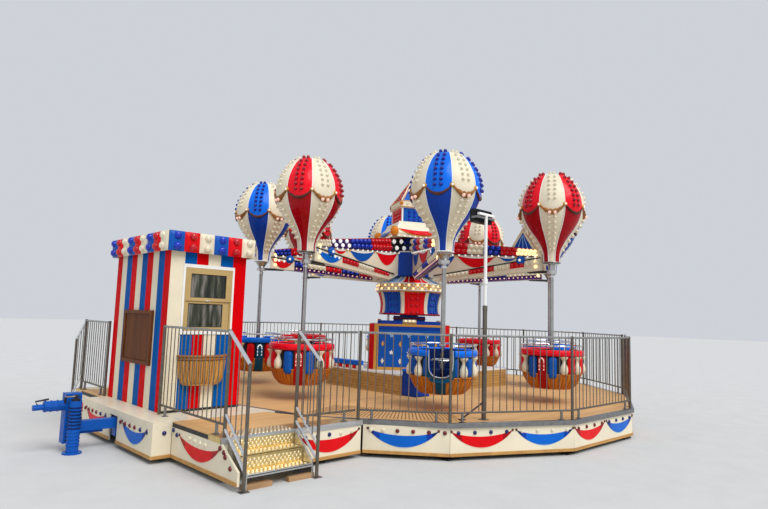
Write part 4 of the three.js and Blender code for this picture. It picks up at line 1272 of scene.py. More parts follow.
def decks():
    platform = Piece()
    inner = [corner(i, PLATFORM_R - 0.07) for i in range(SIDES)]
    boards(platform, inner)
    for i in range(SIDES):
        a, b = corner(i), corner(i + 1)
        c, d = corner(i + 1, PLATFORM_R - 0.068), corner(i, PLATFORM_R - 0.068)
        platform.add(plate([a, b, c, d], DECK_FOOT + 0.001, DECK_TOP), "post_steel")
    # Radial brown lines on the deck near the entrance
    for azimuth in span(*RADIAL_AZIMUTHS, RADIAL_COUNT):
        side = polar(0.0055, azimuth + 90)
        ends = [polar(r, azimuth) for r in RADIAL_RADII]
        outline = [(p.x, p.y) for p in (ends[0] - side, ends[1] - side, ends[1] + side, ends[0] + side)]
        platform.add(plate(outline, DECK_TOP, DECK_TOP + 0.003), "grip_brown")
    platform.make("platform_boards", "platform", ["platform_deck"], sharp=30, bevel=0.0015)

    for way, mirrored in WAYS:
        deck = Piece()
        back = -TRAILER_HALF - 0.0005
        whole = [(ENTRY_LEFT, ENTRY_EDGE), ENTRY_CORNER, corner(12), (-3.953, back), (ENTRY_LEFT, back)]
        boards(deck, clipped(whole, ENTRY_EDGE + 0.28, 0))
        front = clipped(whole, ENTRY_EDGE, ENTRY_EDGE + 0.279)
        deck.add(plate(front, DECK_FOOT, DECK_TOP - 0.002), "tread")
        dots_x = (STAIR_X[0] + 0.03, STAIR_X[1] - 0.03)
        tread_dots(deck, dots_x, (ENTRY_EDGE + 0.03, ENTRY_EDGE + 0.26), DECK_TOP - 0.002)
        lip = slab((ENTRY_LEFT, ENTRY_CORNER[0]), (ENTRY_EDGE - 0.004, ENTRY_EDGE + 0.012),
                   (DECK_FOOT - 0.005, DECK_TOP))
        deck.add(lip, "aluminium")
        deck.make(f"{way}_boards", "platform", [f"{way}_deck"], sharp=30, mirrored=mirrored)


DOT_PITCH = 0.052


def dot_row(x, i, count):
    """Places along row i; every second row is shifted by half a pitch."""
    shift = DOT_PITCH / 2
    return span(x[0] + (shift if i % 2 else 0), x[1] - (0 if i % 2 else shift), count)


def tread_dots(piece, x, y, z):
    """Rows of raised points on a metal tread."""
    rows = max(1, round((y[1] - y[0]) / (DOT_PITCH * 0.8)))
    count = round((x[1] - x[0]) / DOT_PITCH)
    dot = turned([(0.018, 0), (0.014, 0.005), (0.007, 0.008), (0, 0.008)], 6)
    for i, at_y in enumerate(span(y[0], y[1], rows)):
        for at_x in dot_row(x, i, count):
            piece.add(moved(dot, at_x, at_y, z), "tread_point")


def riser_dots(piece, x, y, z):
    """Rows of raised points on the upright face of a step."""
    face = facing((0, y, 0), (0, -1, 0))
    count = round((x[1] - x[0]) / DOT_PITCH)
    dot = turned([(0.016, 0), (0.012, 0.003), (0, 0.006)], 6)
    for i, at_z in enumerate(span(*z, 2)):
        for at_x in dot_row(x, i, count):
            piece.on(face, moved(dot, at_x, at_z), "tread_point")


# Skirts: painted panels with swags, lamp caps and a wooden strip
SKIRT_BACK = 0.03  # the panels stand this far behind the deck edge
SKIRT_TOP = 0.3995
STRIP_Z = (SKIRT_FOOT, SKIRT_FOOT + 0.038)


def skirt_panel(piece, a, b, swags=(), caps=(), strip=True):
    a, b = Vector((*a, 0)), Vector((*b, 0))
    right = (b - a).normalized()
    outward = right.cross(Vector((0, 0, 1)))
    wide = (b - a).length
    face = facing(a, outward)
    gap = 0.003
    piece.on(face, slab((gap, wide - gap), (SKIRT_FOOT, SKIRT_TOP), (-0.022, 0)), "cream")
    if strip:
        piece.on(face, slab((gap, wide - gap), STRIP_Z, (0, 0.009)), "edge_wood")
    for start, end, colour, depth in swags:
        paint_swag(piece, face, start * wide, end * wide, SKIRT_TOP - 0.045, colour, depth)
    for share, cap in caps:
        piece.lamp_on(face, (share * wide, SKIRT_TOP - 0.062, 0), cap, 0.027, 0.022)


def paint_swag(piece, face, x0, x1, y, colour, depth):
    """A painted swag, darker towards its ends, over a pale haze along its lower edge."""
    parts = 24
    top_sag = depth * 0.34
    middle = {"blue": "swag_blue", "red": "red"}[colour]
    tip = {"blue": "navy", "red": "deep_red"}[colour]
    haze = swag_shape((x0 + 0.02, y), (x1 - 0.02, y), depth * 0.9, depth + 0.012, 0.002, parts)
    piece.on(face, haze, f"{colour}_haze")
    for i in range(parts):
        shares = (i / parts, (i + 1) / parts)
        quad = []
        rim = ((shares[0], top_sag), (shares[1], top_sag), (shares[1], depth), (shares[0], depth))
        for share, sag in rim:
            dip = 4 * share * (1 - share)
            quad.append((mix(x0, x1, share), y - sag * dip ** 0.85))
        ends = min(shares[0], 1 - shares[1])
        look = tip if ends < 0.05 else f"deep_{colour}" if ends < 0.14 else middle
        if i in (0, parts - 1):
            quad = [quad[0], quad[1], quad[2]] if i == 0 else [quad[0], quad[1], quad[3]]
        piece.on(face, plate(quad, 0, 0.004), look)
    for x in (x0, x1):
        piece.lamp_on(face, (x, y + 0.002, 0), "rope_dark", 0.018, 0.012)


def caps_row(count, look, first=0.0, last=1.0):
    return [(mix(first, last, (i + 0.5) / count), look) for i in range(count)]


TWO_SWAGS = ((0.01, 0.485, "red", 0.2), (0.515, 0.99, "blue", 0.2))
CAP_CYCLE = ("lamp_navy", "lamp_cream", "lamp_maroon")


def side_skirts(name, sides, mirrored=False, entry=True):
    piece = Piece()
    radius = PLATFORM_R - SKIRT_BACK / math.cos(math.pi / SIDES)
    if entry:
        a = (ENTRY_CORNER[0] + 0.02, ENTRY_CORNER[1] + 0.018)
        caps = caps_row(2, "lamp_cream", 0.02, 0.31) + caps_row(4, "lamp_maroon", 0.31, 1.03)
        skirt_panel(piece, a, corner(13, radius), [(0.06, 0.87, "blue", 0.21)], caps)
    for order, i in enumerate(sides):
        looks = [CAP_CYCLE[(2 * order + n) % 3] for n in (0, 1)]
        caps = caps_row(4, looks[0], 0.0, 0.5) + caps_row(4, looks[1], 0.5, 1.0)
        skirt_panel(piece, corner(i, radius), corner(i + 1, radius), TWO_SWAGS, caps)
    piece.make(f"{name}_skirt_panels", "platform", [f"{name}_skirt"], mirrored=mirrored)


CHEEK_LAMPS = {
    "lamp_navy": ((1.27, 0.37), (1.36, 0.33)),
    "lamp_maroon": ((2.36, 0.36), (2.44, 0.33), (2.47, 0.29), (2.58, 0.2)),
    "lamp_cream": ((1.68, 0.345), (1.8, 0.34), (1.92, 0.335), (2.04, 0.335)),
}


def skirts():
    side_skirts("near", (13, 0, 1))
    side_skirts("far", (13, 0, 1), mirrored=True)
    side_skirts("tail", (2, 3, 4, 5), entry=False)

    end = Piece()
    x = TRAILER_FRONT
    slot = 0.13
    for y0, y1, colour in ((TRAILER_HALF, slot, "red"), (-slot, -TRAILER_HALF, "blue")):
        caps = caps_row(4, "lamp_maroon", 0.05, 0.6) + caps_row(2, "lamp_navy", 0.6, 0.95)
        skirt_panel(end, (x, y0), (x, y1), [(0.16, 0.86, colour, 0.21)], caps)
    for side in (-1, 1):
        a, b = (x, side * TRAILER_HALF), (ENTRY_LEFT - 0.001, side * TRAILER_HALF)
        ends = (a, b) if side < 0 else (b, a)
        skirt_panel(end, *ends, caps=[(0.6 if side < 0 else 0.4, "lamp_navy")])
    end.add(slab((x + 0.001, x + 0.02), (-slot, slot), (0.386, SKIRT_TOP)), "cream")
    end.make("drawbar_end_panels", "platform", ["drawbar_end_skirt"])

    for way, mirrored in WAYS:
        piece = Piece()
        back = -TRAILER_HALF - 0.001
        cheek = [(back, SKIRT_FOOT), (back, SKIRT_TOP), (ENTRY_EDGE, SKIRT_TOP), (STAIR_EDGE, 0.19),
                 (STAIR_EDGE, SKIRT_FOOT)]
        face = facing((ENTRY_LEFT, 0, 0), (-1, 0, 0))
        outline = [(-y, z) for y, z in cheek]
        piece.on(face, plate(outline, -0.025, 0), "cream")
        piece.on(face, slab((TRAILER_HALF, -STAIR_EDGE), STRIP_Z, (0, 0.009)), "edge_wood")
        paint_swag(piece, face, 1.42, 2.34, SKIRT_TOP - 0.06, "red", 0.2)
        for cap, spots in CHEEK_LAMPS.items():
            for spot in spots:
                piece.lamp_on(face, (*spot, 0), cap, 0.027, 0.022)
        y = ENTRY_EDGE + 0.006
        caps = [(0.12, "lamp_navy"), (0.3, "lamp_navy"), (0.48, "lamp_navy"), (0.66, "lamp_cream"),
                (0.84, "lamp_cream")]
        skirt_panel(piece, (ENTRY_LEFT + 0.03, y), (-4.3, y), strip=False)
        skirt_panel(piece, (-4.25, y), (ENTRY_CORNER[0] - 0.018, y), [(0.04, 0.96, "red", 0.22)], caps)
        piece.make(f"{way}_skirt_panels", "platform", [f"{way}_skirt"], mirrored=mirrored)


# Fences
FENCE_PITCH = 0.1
BOOTH_GAP = 0.045  # between the booth and the fence post beside it


def fence_panel(piece, a, b, posts=(True, True)):
    a, b = Vector((*a, 0)), Vector((*b, 0))
    wide = (b - a).length
    count = max(1, round(wide / FENCE_PITCH))

    def at(share, z):
        p = a.lerp(b, share)
        return Vector((p.x, p.y, z))

    top = FENCE_TOP - 0.02
    piece.add(tube([at(0, top), at(1, top)], 0.0145, 8), "galvanised")
    piece.add(tube([at(0, RAIL_FOOT), at(1, RAIL_FOOT)], 0.013, 8), "brown_steel")
    for i in range(1, count):
        share = i / count
        # Balusters: their brownish tint is partly a painted reflection of the deck
        piece.add(tube([at(share, RAIL_FOOT), at(share, top)], 0.0066, 6), "baluster_steel")
    for end, wanted in enumerate(posts):
        if wanted:
            piece.add(tube([at(end, DECK_TOP), at(end, FENCE_TOP)], 0.02, 10), "brown_steel")
    if wide > 0.8:
        for share in (0.17 / wide, 1 - 0.17 / wide):
            piece.add(tube([at(share, DECK_TOP), at(share, RAIL_FOOT)], 0.017, 8), "post_steel")
            p = at(share, DECK_TOP)
            piece.add(moved(slab((-0.03, 0.03), (-0.03, 0.03), (0.0, 0.008)), p.x, p.y, p.z), "post_steel")


def fence_run(piece, points):
    for i, (a, b) in enumerate(zip(points, points[1:])):
        fence_panel(piece, a, b, posts=(True, i == len(points) - 2))


def stair_rail(piece, x):
    inner, outer = ENTRY_EDGE + 0.05, STAIR_EDGE - 0.025
    piece.add(tube([(x, outer, 0.0), (x, outer, FENCE_TOP - 0.33)], 0.019, 10), "brown_steel")
    piece.add(tube([(x, outer, FENCE_TOP - 0.33), (x, inner, FENCE_TOP - 0.017)], 0.02, 10), "chrome")
    for low, high in ((0.33, 0.69), (0.18, 0.54)):
        piece.add(tube([(x, outer, low), (x, inner, high)], 0.015, 8), "chrome")
    for share in (0.25, 0.5, 0.75):
        y = mix(outer, inner, share)
        foot, head = mix(0.33, 0.69, share), mix(FENCE_TOP - 0.33, FENCE_TOP - 0.017, share)
        # Balusters: their brownish tint is partly a painted reflection of the deck
        piece.add(tube([(x, y, foot), (x, y, head)], 0.0066, 6), "baluster_steel")
    piece.add(moved(slab((-0.05, 0.05), (-0.04, 0.04), (0.0, 0.008)), x, outer), "post_steel")


def fences():
    for name, mirrored in FLANKS:
        piece = Piece()
        fence_run(piece, [ENTRY_POST] + [corner(i, FENCE_R) for i in (13, 0, 1, 2)])
        piece.make(f"{name}_fence_tubes", "platform", [f"{name}_fence"],
                   mirrored=mirrored)
    tail = Piece()
    ring = [Vector((*corner(i, FENCE_R), 0)) for i in (2, 3, 4, 5, 6)]
    ends = ring[0].lerp(ring[1], 0.06), ring[3].lerp(ring[4], 0.94)
    fence_run(tail, [p[:2] for p in (ends[0], *ring[1:4], ends[1])])
    tail.make("tail_fence_tubes", "platform", ["tail_fence"])

    left, right = ENTRY_LEFT + 0.06, STAIR_X[1] + 0.03
    inner = ENTRY_EDGE + 0.05
    booth_sides = (BOOTH_Y[0], -BOOTH_Y[1])
    for (way, mirrored), booth_side in zip(WAYS, booth_sides):
        piece = Piece()
        fence_panel(piece, (left, booth_side - BOOTH_GAP), (left, inner))
        stair_rail(piece, left)
        piece.make(f"{way}_left_tubes", "platform", [f"{way}_left_fence"],
                   mirrored=mirrored)
        piece = Piece()
        fence_panel(piece, (right, inner), (ENTRY_POST[0] - 0.06, inner), posts=(True, False))
        stair_rail(piece, right)
        piece.make(f"{way}_right_tubes", "platform", [f"{way}_right_fence"],
                   mirrored=mirrored)


def stairs():
    rise = DECK_TOP / 3
    going = (ENTRY_EDGE - 0.0003 - STAIR_EDGE) / 2
    back = ENTRY_EDGE - 0.004
    x0, x1 = STAIR_X
    tread_x = (x0 + 0.025, x1 - 0.025)
    dots_x = (x0 + 0.05, x1 - 0.05)
    side = [(back, 0), (back, DECK_TOP - 0.01), (back - 0.02, DECK_TOP - 0.01), (STAIR_EDGE, 0.17),
            (STAIR_EDGE, 0)]
    for way, mirrored in WAYS:
        piece = Piece()
        for k in (1, 2):
            top = DECK_TOP - k * rise
            y0, y1 = ENTRY_EDGE - k * going, ENTRY_EDGE - (k - 1) * going - 0.004
            piece.add(slab(tread_x, (y0, y1), (top - 0.02, top - 0.008)), "tread")
            tread_dots(piece, dots_x, (y0 + 0.04, y1 - 0.02), top - 0.008)
            nosing = slab(STAIR_X, (y0, y0 + 0.022), (top - 0.035, top))
            piece.add(nosing, "aluminium" if k == 2 else "tread")
            riser_dots(piece, dots_x, y1 - 0.004, (top + 0.03, top + rise - 0.06))
            piece.add(slab(tread_x, (y1 - 0.004, y1), (top - 0.01, top + rise - 0.035)), "tread")
        for x in (x0, x1 - 0.02):
            piece.on(facing((x + 0.02, 0, 0), (1, 0, 0)), plate(side, -0.02, 0), "aluminium")
        for x, deep in ((x0 + 0.08, 0.3), (x1 - 0.22, 0.2)):
            block = slab((x - 0.09, x + 0.24), (STAIR_EDGE + 0.001, STAIR_EDGE + deep * 0.3), (0.0, 0.05))
            piece.add(block, "packer")
        piece.make(f"{way}_steps", "platform", [f"{way}_stairs"], mirrored=mirrored,
                   bevel=0.002)


# Booth
FRONT_STRIPES = ((-5.105, -4.913, "cream"), (-4.913, -4.75, "blue"), (-4.75, -4.587, "red"),
                 (-4.587, -4.405, "cream"), (-4.405, -4.218, "blue"), (-4.218, -4.017, "red"))
LEFT_STRIPES = ("red", "cream", "blue", "red", "cream", "blue", "red", "cream", "blue", "red")
WINDOW_X = (-4.898, -4.222)
WINDOW_Z = (1.485, 2.31)
DOOR_Y = (0.25, 0.95)
DOOR_TOP = 2.3
WALL = 0.034


def wall_strip(piece, face, edges, z, colour):
    """One board of a booth wall, with a fine joint on each side."""
    joint = 0.001
    piece.on(face, slab((edges[0] + joint, edges[1] - joint), z, (-WALL, 0)), f"wall_{colour}")


def booth_walls():
    x0, x1 = BOOTH_X
    y0, y1 = BOOTH_Y
    foot, top = DECK_TOP + 0.001, BOOTH_TOP - 0.001

    # Front wall: strips from top to foot, with the window between the inner four
    front = Piece()
    face = facing((0, y0, 0), (0, -1, 0))
    for a, b, colour in FRONT_STRIPES:
        parts = [(foot, top)]
        if b > WINDOW_X[0] + 0.01 and a < WINDOW_X[1] - 0.01:
            parts = [(foot, WINDOW_Z[0] - 0.045), (WINDOW_Z[1] + 0.045, top)]
        for z in parts:
            wall_strip(front, face, (a, b), z, colour)
    front.border(face, ((-4.927, -4.193), (1.44, 2.355)), (WINDOW_X, WINDOW_Z), (-0.03, 0.012), "white")
    front.on(face, slab((x0, x1), (foot, foot + 0.03), (0, 0.008)), "dark_steel")
    front.make("booth_front_strips", "platform", ["booth_front_wall"], bevel=0.002)

    left_edges = span(-y1, -y0, len(LEFT_STRIPES))
    back_edges = span(-x1, -x0, 6)
    for name, face, edges in (("left", facing((x0, 0, 0), (-1, 0, 0)), left_edges),
                              ("back", facing((0, y1, 0), (0, 1, 0)), back_edges)):
        piece = Piece()
        for strip, colour in zip(zip(edges, edges[1:]), LEFT_STRIPES):
            wall_strip(piece, face, strip, (foot, top), colour)
        piece.make(f"booth_{name}_strips", "platform", [f"booth_{name}_wall"], bevel=0.002)

    right = Piece()
    face = facing((x1, 0, 0), (1, 0, 0))
    edges = [y0, -0.42, -0.195, 0.03, *DOOR_Y, y1]
    for strip, colour in zip(zip(edges, edges[1:]), LEFT_STRIPES):
        z = (DOOR_TOP, top) if strip == DOOR_Y else (foot, top)
        wall_strip(right, face, strip, z, colour)
    head = DOOR_TOP + 0.03
    for y, z in (((DOOR_Y[0] - 0.03, DOOR_Y[0]), (foot, head)), ((DOOR_Y[1], DOOR_Y[1] + 0.03), (foot, head)),
                 (DOOR_Y, (DOOR_TOP + 0.002, head))):
        right.on(face, slab(y, z, (0, 0.01)), "white")
    right.make("booth_right_strips", "platform", ["booth_right_wall"], bevel=0.002)
    booth_door(face, foot)


def booth_door(face, foot):
    leaf = Piece()
    low, high = DOOR_Y
    leaf.on(face, slab((low + 0.003, high - 0.003), (foot, DOOR_TOP - 0.003), (-0.034, -0.006)), "blue")
    for z in ((0.62, 1.3), (1.42, 2.18)):
        for inset, out, look in ((0.09, 0.0, "cream"), (0.13, 0.003, "blue")):
            across, up = (low + inset, high - inset), (z[0] + inset - 0.09, z[1] - inset + 0.09)
            leaf.on(face, slab(across, up, (-0.006, out)), look)
    leaf.on(face, tube([(0.86, 1.28, 0.03), (0.86, 1.42, 0.03)], 0.009, 8), "chrome")
    for z in (1.28, 1.42):
        leaf.on(face, tube([(0.86, z, -0.006), (0.86, z, 0.03)], 0.008, 8), "chrome")
    leaf.make("booth_door_leaf", "platform", ["booth_door"], bevel=0.002)


def fascia_block(piece, face, x0, x1, look):
    """A swollen block of the fascia with its lamp caps."""
    grid = []
    columns, rows = 8, 8
    for i in range(rows + 1):
        v = -1 + 2 * i / rows
        row = []
        for j in range(columns + 1):
            u = -1 + 2 * j / columns
            out = 0.004 + 0.03 * max(0, (1 - abs(u) ** 3) * (1 - abs(v) ** 4)) ** 0.7
            z = mix(*FASCIA_Z, (v + 1) / 2)
            row.append(face @ Vector((mix(x0, x1, (u + 1) / 2), z, out)))
        grid.append(row)
    piece.add(sheet_of(grid), look)
    middle = (x0 + x1) / 2
    for share in (0.25, 0.77):
        z = mix(*FASCIA_Z, share)
        piece.lamp_on(face, (middle, z, 0.028), f"lamp_{look}", 0.052, 0.045)


def booth_roof():
    piece = Piece()
    x0, x1 = BOOTH_X[0] - 0.08, BOOTH_X[1] + 0.08
    y0, y1 = BOOTH_Y[0] - 0.08, BOOTH_Y[1] + 0.015
    inner = 0.012
    for x, y in (((x0, x0 + inner), (y0, y1)), ((x1 - inner, x1), (y0, y1)), ((x0, x1), (y0, y0 + inner)),
                 ((x0, x1), (y1 - inner, y1))):
        piece.add(slab(x, y, (FASCIA_Z[0] + 0.002, FASCIA_Z[1] - 0.002)), "cream")
    for inset, z, look in ((inner, (BOOTH_TOP, FASCIA_Z[1] - 0.01), "cream"),
                           (0.004, (FASCIA_Z[1] - 0.012, FASCIA_Z[1]), "white")):
        piece.add(slab((x0 + inset, x1 - inset), (y0 + inset, y1 - inset), z), look)
    looks = ("blue", "red", "cream")
    sides = ((facing((0, y0, 0), (0, -1, 0)), x0, x1, 6), (facing((x0, 0, 0), (-1, 0, 0)), -y1, -y0, 9),
             (facing((x1, 0, 0), (1, 0, 0)), y0, y1, 9), (facing((0, y1, 0), (0, 1, 0)), -x1, -x0, 6))
    for face, a, b, count in sides:
        edges = span(a, b, count)
        for i, (p, q) in enumerate(zip(edges, edges[1:])):
            fascia_block(piece, face, p, q, looks[i % 3])
    piece.make("booth_fascia", "platform", ["booth_roof"], sharp=50)


def booth_window():
    piece = Piece()
    face = facing((0, BOOTH_Y[0], 0), (0, -1, 0))
    x, z = WINDOW_X, WINDOW_Z
    lights = (((-4.818, -4.312), (1.92, 2.232), 0.012), ((-4.832, -4.339), (1.534, 1.843), -0.004))
    for wide, high, out in lights:
        outer_x = (x[0] + 0.001, x[1] - 0.001) if out > 0 else (x[0] + 0.022, x[1] - 0.022)
        outer_z = (1.875, z[1] - 0.001) if out > 0 else (z[0] + 0.001, 1.874)
        piece.border(face, (outer_x, outer_z), (wide, high), (out - 0.03, out), "tan_frame")
        piece.on(face, slab(wide, high, (out - 0.02, out - 0.015)), "glass")
        for a, b in ((wide, (high[0], high[0] + 0.006)), (wide, (high[1] - 0.006, high[1])),
                     ((wide[0], wide[0] + 0.006), high), ((wide[1] - 0.006, wide[1]), high)):
            piece.on(face, slab(a, b, (out - 0.016, out - 0.006)), "dark")
    for side in (0, 1):
        a = (x[0] + 0.001, x[0] + 0.021) if side == 0 else (x[1] - 0.021, x[1] - 0.001)
        piece.on(face, slab(a, (z[0] + 0.001, 1.874), (-0.03, 0.01)), "tan_frame")
    piece.on(face, slab((-4.6, -4.54), (1.876, 1.89), (0.012, 0.02)), "chrome")
    piece.make("booth_window_sashes", "platform", ["booth_window"], bevel=0.002)


def booth_basket():
    piece = Piece()
    middle, deep = -4.6, 0.6
    wall = BOOTH_Y[0] - 0.0003
    line = [(0.02, 0.795), (0.235, 0.795), (0.272, 0.83), (0.298, 0.9), (0.312, 1.0), (0.32, 1.11)]
    ribs, across = 16, 5
    rows = []
    for r, z in line:
        row = []
        for j in range(ribs * across + 1):
            a = math.pi * j / (ribs * across)
            rise = 1 + 0.05 * math.sin(math.pi * (j % across) / across)
            row.append((middle - r * rise * math.cos(a), wall - deep * r * rise * math.sin(a), z))
        rows.append(row)
    piece.add(sheet_of(rows), "basket_tan")
    # Thin dark lines in the grooves of the basket: painted shadow
    for j in range(ribs + 1):
        a = math.pi * j / ribs
        path = [(middle - r * math.cos(a), wall - deep * r * math.sin(a) - 0.001, z) for r, z in line[1:]]
        piece.add(tube(path, 0.004, 4), "wicker_dark")
    for z, r, size in ((1.13, 0.328, 0.016), (1.165, 0.333, 0.017), (0.805, 0.245, 0.012)):
        path = [(middle - r * math.cos(a), wall - deep * r * math.sin(a) - 0.001, z)
                for a in (math.pi * j / 28 for j in range(29))]
        piece.add(tube(path, size, 8), "rope" if z > 1 else "basket_tan")
    # A dark plate across the basket's mouth: painted shade for its inside
    lid = [(middle - 0.33 * math.cos(a), wall - deep * 0.33 * math.sin(a)) for a in span(0, math.pi, 24)]
    piece.add(plate(lid, 1.12, 1.15), "wicker_dark")
    piece.make("booth_basket_ribs", "platform", ["booth_basket"], sharp=60)


def booth_board():
    piece = Piece()
    face = facing((BOOTH_X[0] - 0.0003, 0, 0), (-1, 0, 0))
    y, z = (-0.71, 0.245), (1.015, 1.735)
    rim = 0.05
    inner = ((y[0] + rim, y[1] - rim), (z[0] + rim, z[1] - rim))
    piece.on(face, slab(*inner, (0, 0.022)), "brown_board")
    piece.border(face, (y, z), inner, (0, 0.0395), "wicker_dark")
    for a in (y[0] + 0.025, y[1] - 0.025):
        for b in (z[0] + 0.025, z[1] - 0.025):
            piece.lamp_on(face, (a, b, 0.038), "dark_steel", 0.008, 0.0015)
    piece.make("booth_board_frame", "platform", ["booth_board"], bevel=0.004)


# Drawbar: the model's own solid with a finish, and threads, bolts and a handle on it
JACK = (-5.94, -0.15)
BAR_Z = 0.556


def drawbar():
    finish_node("drawbar", "blue")
    piece = Piece()
    x, y = JACK
    for i in range(12):
        z = 0.1 + 0.04 * i
        thread = turned([(0.066, z - 0.012), (0.076, z - 0.006), (0.076, z + 0.006), (0.066, z + 0.012)], 20)
        piece.add(moved(thread, x, y), "navy" if z > 0.3 else "blue")
    head = turned([(0, 0.62), (0.05, 0.62), (0.05, 0.64), (0.02, 0.65), (0.02, 0.69), (0, 0.69)], 16)
    piece.add(moved(head, x, y), "dark_steel")
    piece.add(tube([(x, y, 0.675), (x - 0.13, y - 0.02, 0.675)], 0.01, 8), "chrome")
    piece.add(tube([(x - 0.125, y - 0.02, 0.675), (x - 0.125, y - 0.02, 0.6)], 0.014, 8), "black")
    for bolt_x in (-6.0, -5.88):
        for bolt_z in (0.66, 0.6, 0.48, 0.42, 0.2, 0.15):
            for side in (-1, 1):
                piece.lamp((bolt_x, side * 0.075, bolt_z), (0, side, 0), "dark_steel", 0.011, 0.007)
    for band_x in (-6.235, -6.17, -6.1):
        ring = [(band_x, 0.064 * math.cos(a), BAR_Z + 0.064 * math.sin(a))
                for a in span(0, math.tau, 20)[:-1]]
        piece.add(tube(ring, 0.007, 6, closed=True), "blue")
    piece.add(tube([(-6.3, 0, BAR_Z), (-6.34, 0, 0.62), (-6.2, 0, 0.64)], 0.012, 8), "dark_steel")
    piece.make("drawbar_fittings", "platform")


# Centre
PLINTH_TOP = 0.8
HOUSING_TOP = 1.625
HOUSING_HALF = 0.74
HOUSING_CHAMFER = 0.11
COLUMN_TOP = 1.78


def plinth():
    piece = Piece()
    x, y = (-1.19, 1.83), (-1.0, 1.0)
    foot, top = DECK_TOP + 0.0005, PLINTH_TOP
    rows = 6
    levels = span(foot, top - 0.03, rows)
    for low, high in zip(levels, levels[1:]):
        piece.add(slab(x, y, (low + 0.002, high - 0.003)), "slat_tan")
    # A dark core behind the slats: painted shade that shows in the gaps between them
    inset = 0.008
    core = slab((x[0] + inset, x[1] - inset), (y[0] + inset, y[1] - inset), (foot, top - 0.03))
    piece.add(core, "wicker_dark")
    piece.add(slab(x, y, (top - 0.028, top - 0.001)), "white")
    proud = 0.003
    for at in span(x[0] + 0.02, x[1] - 0.02, 6):
        for batten_y in ((y[0] - proud, y[0]), (y[1], y[1] + proud)):
            piece.add(slab((at - 0.014, at + 0.014), batten_y, (foot, top - 0.03)), "edge_wood")
    piece.make("plinth_slats", "platform", ["centre_plinth"], bevel=0.003)

    # A low blue pelmet over red and white blocks, on one edge of the plinth
    pelmet = Piece()
    ends = (0.08, 0.86)
    for i, (y0, y1) in enumerate(zip(span(*ends, 8), span(*ends, 8)[1:])):
        block = slab((-1.18, -1.08), (y0 + 0.002, y1 - 0.002), (top + 0.0005, top + 0.065))
        pelmet.add(block, "red" if i % 2 else "white")
    pelmet.add(slab((-1.188, -1.072), ends, (top + 0.066, top + 0.15)), "bright_blue")
    pelmet.make("plinth_pelmet", "platform", bevel=0.012)

    # Step boxes with a thick rounded top
    for name, x, y, high in (("near_step_box", (-1.19, -0.83), (-1.33, -1.004), 0.9),
                             ("tail_step_box", (1.834, 2.12), (-0.8, -0.45), 0.78)):
        box = Piece()
        core = slab((x[0] + inset, x[1] - inset), (y[0] + inset, y[1] - 0.002), (foot, high - 0.04))
        box.add(core, "deep_blue")
        box.add(slab(x, y, (high - 0.045, high)), "bright_blue")
        box.make(f"{name}_shell", "platform", [name], bevel=0.012)


def housing_outline(half):
    corners = []
    cut = half - HOUSING_CHAMFER
    for side in range(4):
        normal = 45 + side * 90
        spread = math.degrees(math.atan2(cut, half))
        for turn in (-spread, spread):
            p = polar(math.hypot(half, cut), normal + turn)
            corners.append((p.x, p.y))
    return corners


def housing():
    piece = Piece()
    half = HOUSING_HALF
    foot, top = PLINTH_TOP + 0.0005, HOUSING_TOP
    inner = housing_outline(half - 0.02)
    piece.add(plate(inner, foot, top - 0.005), "deep_blue")
    small = [(x * 0.8, y * 0.8) for x, y in housing_outline(half)]
    piece.add(plate(small, top - 0.02, top + 0.06), "deep_blue")
    wide = half - HOUSING_CHAMFER
    for side in range(4):
        azimuth = 45 + side * 90
        outward = polar(1, azimuth)
        face = facing(polar(half, azimuth), outward)
        frame_bar = 0.07
        edge = (-wide + frame_bar, wide - frame_bar)
        inside = (edge, (foot + 0.05, top - 0.04))
        piece.border(face, ((-wide, wide), (foot, top)), inside, (-0.02, 0), "gold")
        piece.on(face, slab(*inside, (-0.02, -0.012)), "blue")
        piece.on(face, slab(edge, (top - 0.1, top - 0.04), (-0.013, -0.006)), "deep_blue")
        pattern_panel(piece, face, edge, (foot + 0.08, top - 0.13))
        out = (wide + half) / math.sqrt(2)
        nook = facing(polar(out, azimuth + 45), polar(1, azimuth + 45))
        reach = HOUSING_CHAMFER / math.sqrt(2)
        piece.on(nook, slab((-reach + 0.012, reach - 0.012), (foot, top), (-0.03, -0.004)), "red")
        for x in (-reach + 0.006, reach - 0.006):
            piece.on(nook, tube([(x, foot, -0.004), (x, top, -0.004)], 0.009, 8), "gold")
    turn = Matrix.Rotation(math.radians(45), 4, "Z")
    for reach, z, look in ((0.3, (top - 0.001, COLUMN_TOP), "deep_blue"), (0.312, (1.72, 1.745), "deep_red")):
        piece.on(turn, slab((-reach, reach), (-reach, reach), z), look)
    for side in range(4):
        azimuth = 45 + side * 90
        face = facing(polar(0.6, azimuth), polar(1, azimuth))
        piece.on(face, slab((-0.13, 0.13), (top + 0.001, top + 0.075), (-0.06, 0.0)), "gold")
        piece.on(face, slab((-0.12, 0.12), (top + 0.035, top + 0.085), (-0.05, 0.012)), "cream")
        for x in (-0.07, 0.0, 0.07):
            piece.lamp_on(face, (x, top + 0.06, 0.012), "lamp_warm", 0.016)
    piece.make("housing_panels", "platform", ["centre_housing"], bevel=0.0025)


def star_outline(radius):
    """Ten corners, out and in by turns."""
    corners = []
    for n, a in enumerate(span(0, math.tau, 10)[:-1]):
        share = 1 if n % 2 == 0 else 0.45
        corners.append((radius * math.sin(a) * share, radius * math.cos(a) * share))
    return corners


def pattern_panel(piece, face, x, z):
    """Stars and diamonds by turns, in rows."""
    columns, rows = 7, 4
    looks = ("cream", "pale_blue", "gold", "white")
    star, diamond = star_outline(0.05), [(-0.03, 0), (0, -0.055), (0.03, 0), (0, 0.055)]
    for i in range(rows):
        for j in range(i % 2, columns, 2):
            at = (mix(x[0], x[1], (j + 0.5) / columns), mix(z[0], z[1], (i + 0.5) / rows), -0.012)
            spot = face @ Matrix.Translation(at)
            piece.on(spot, plate(star if j % 2 else diamond, 0, 0.005), looks[(i + 2 * j) % 4])


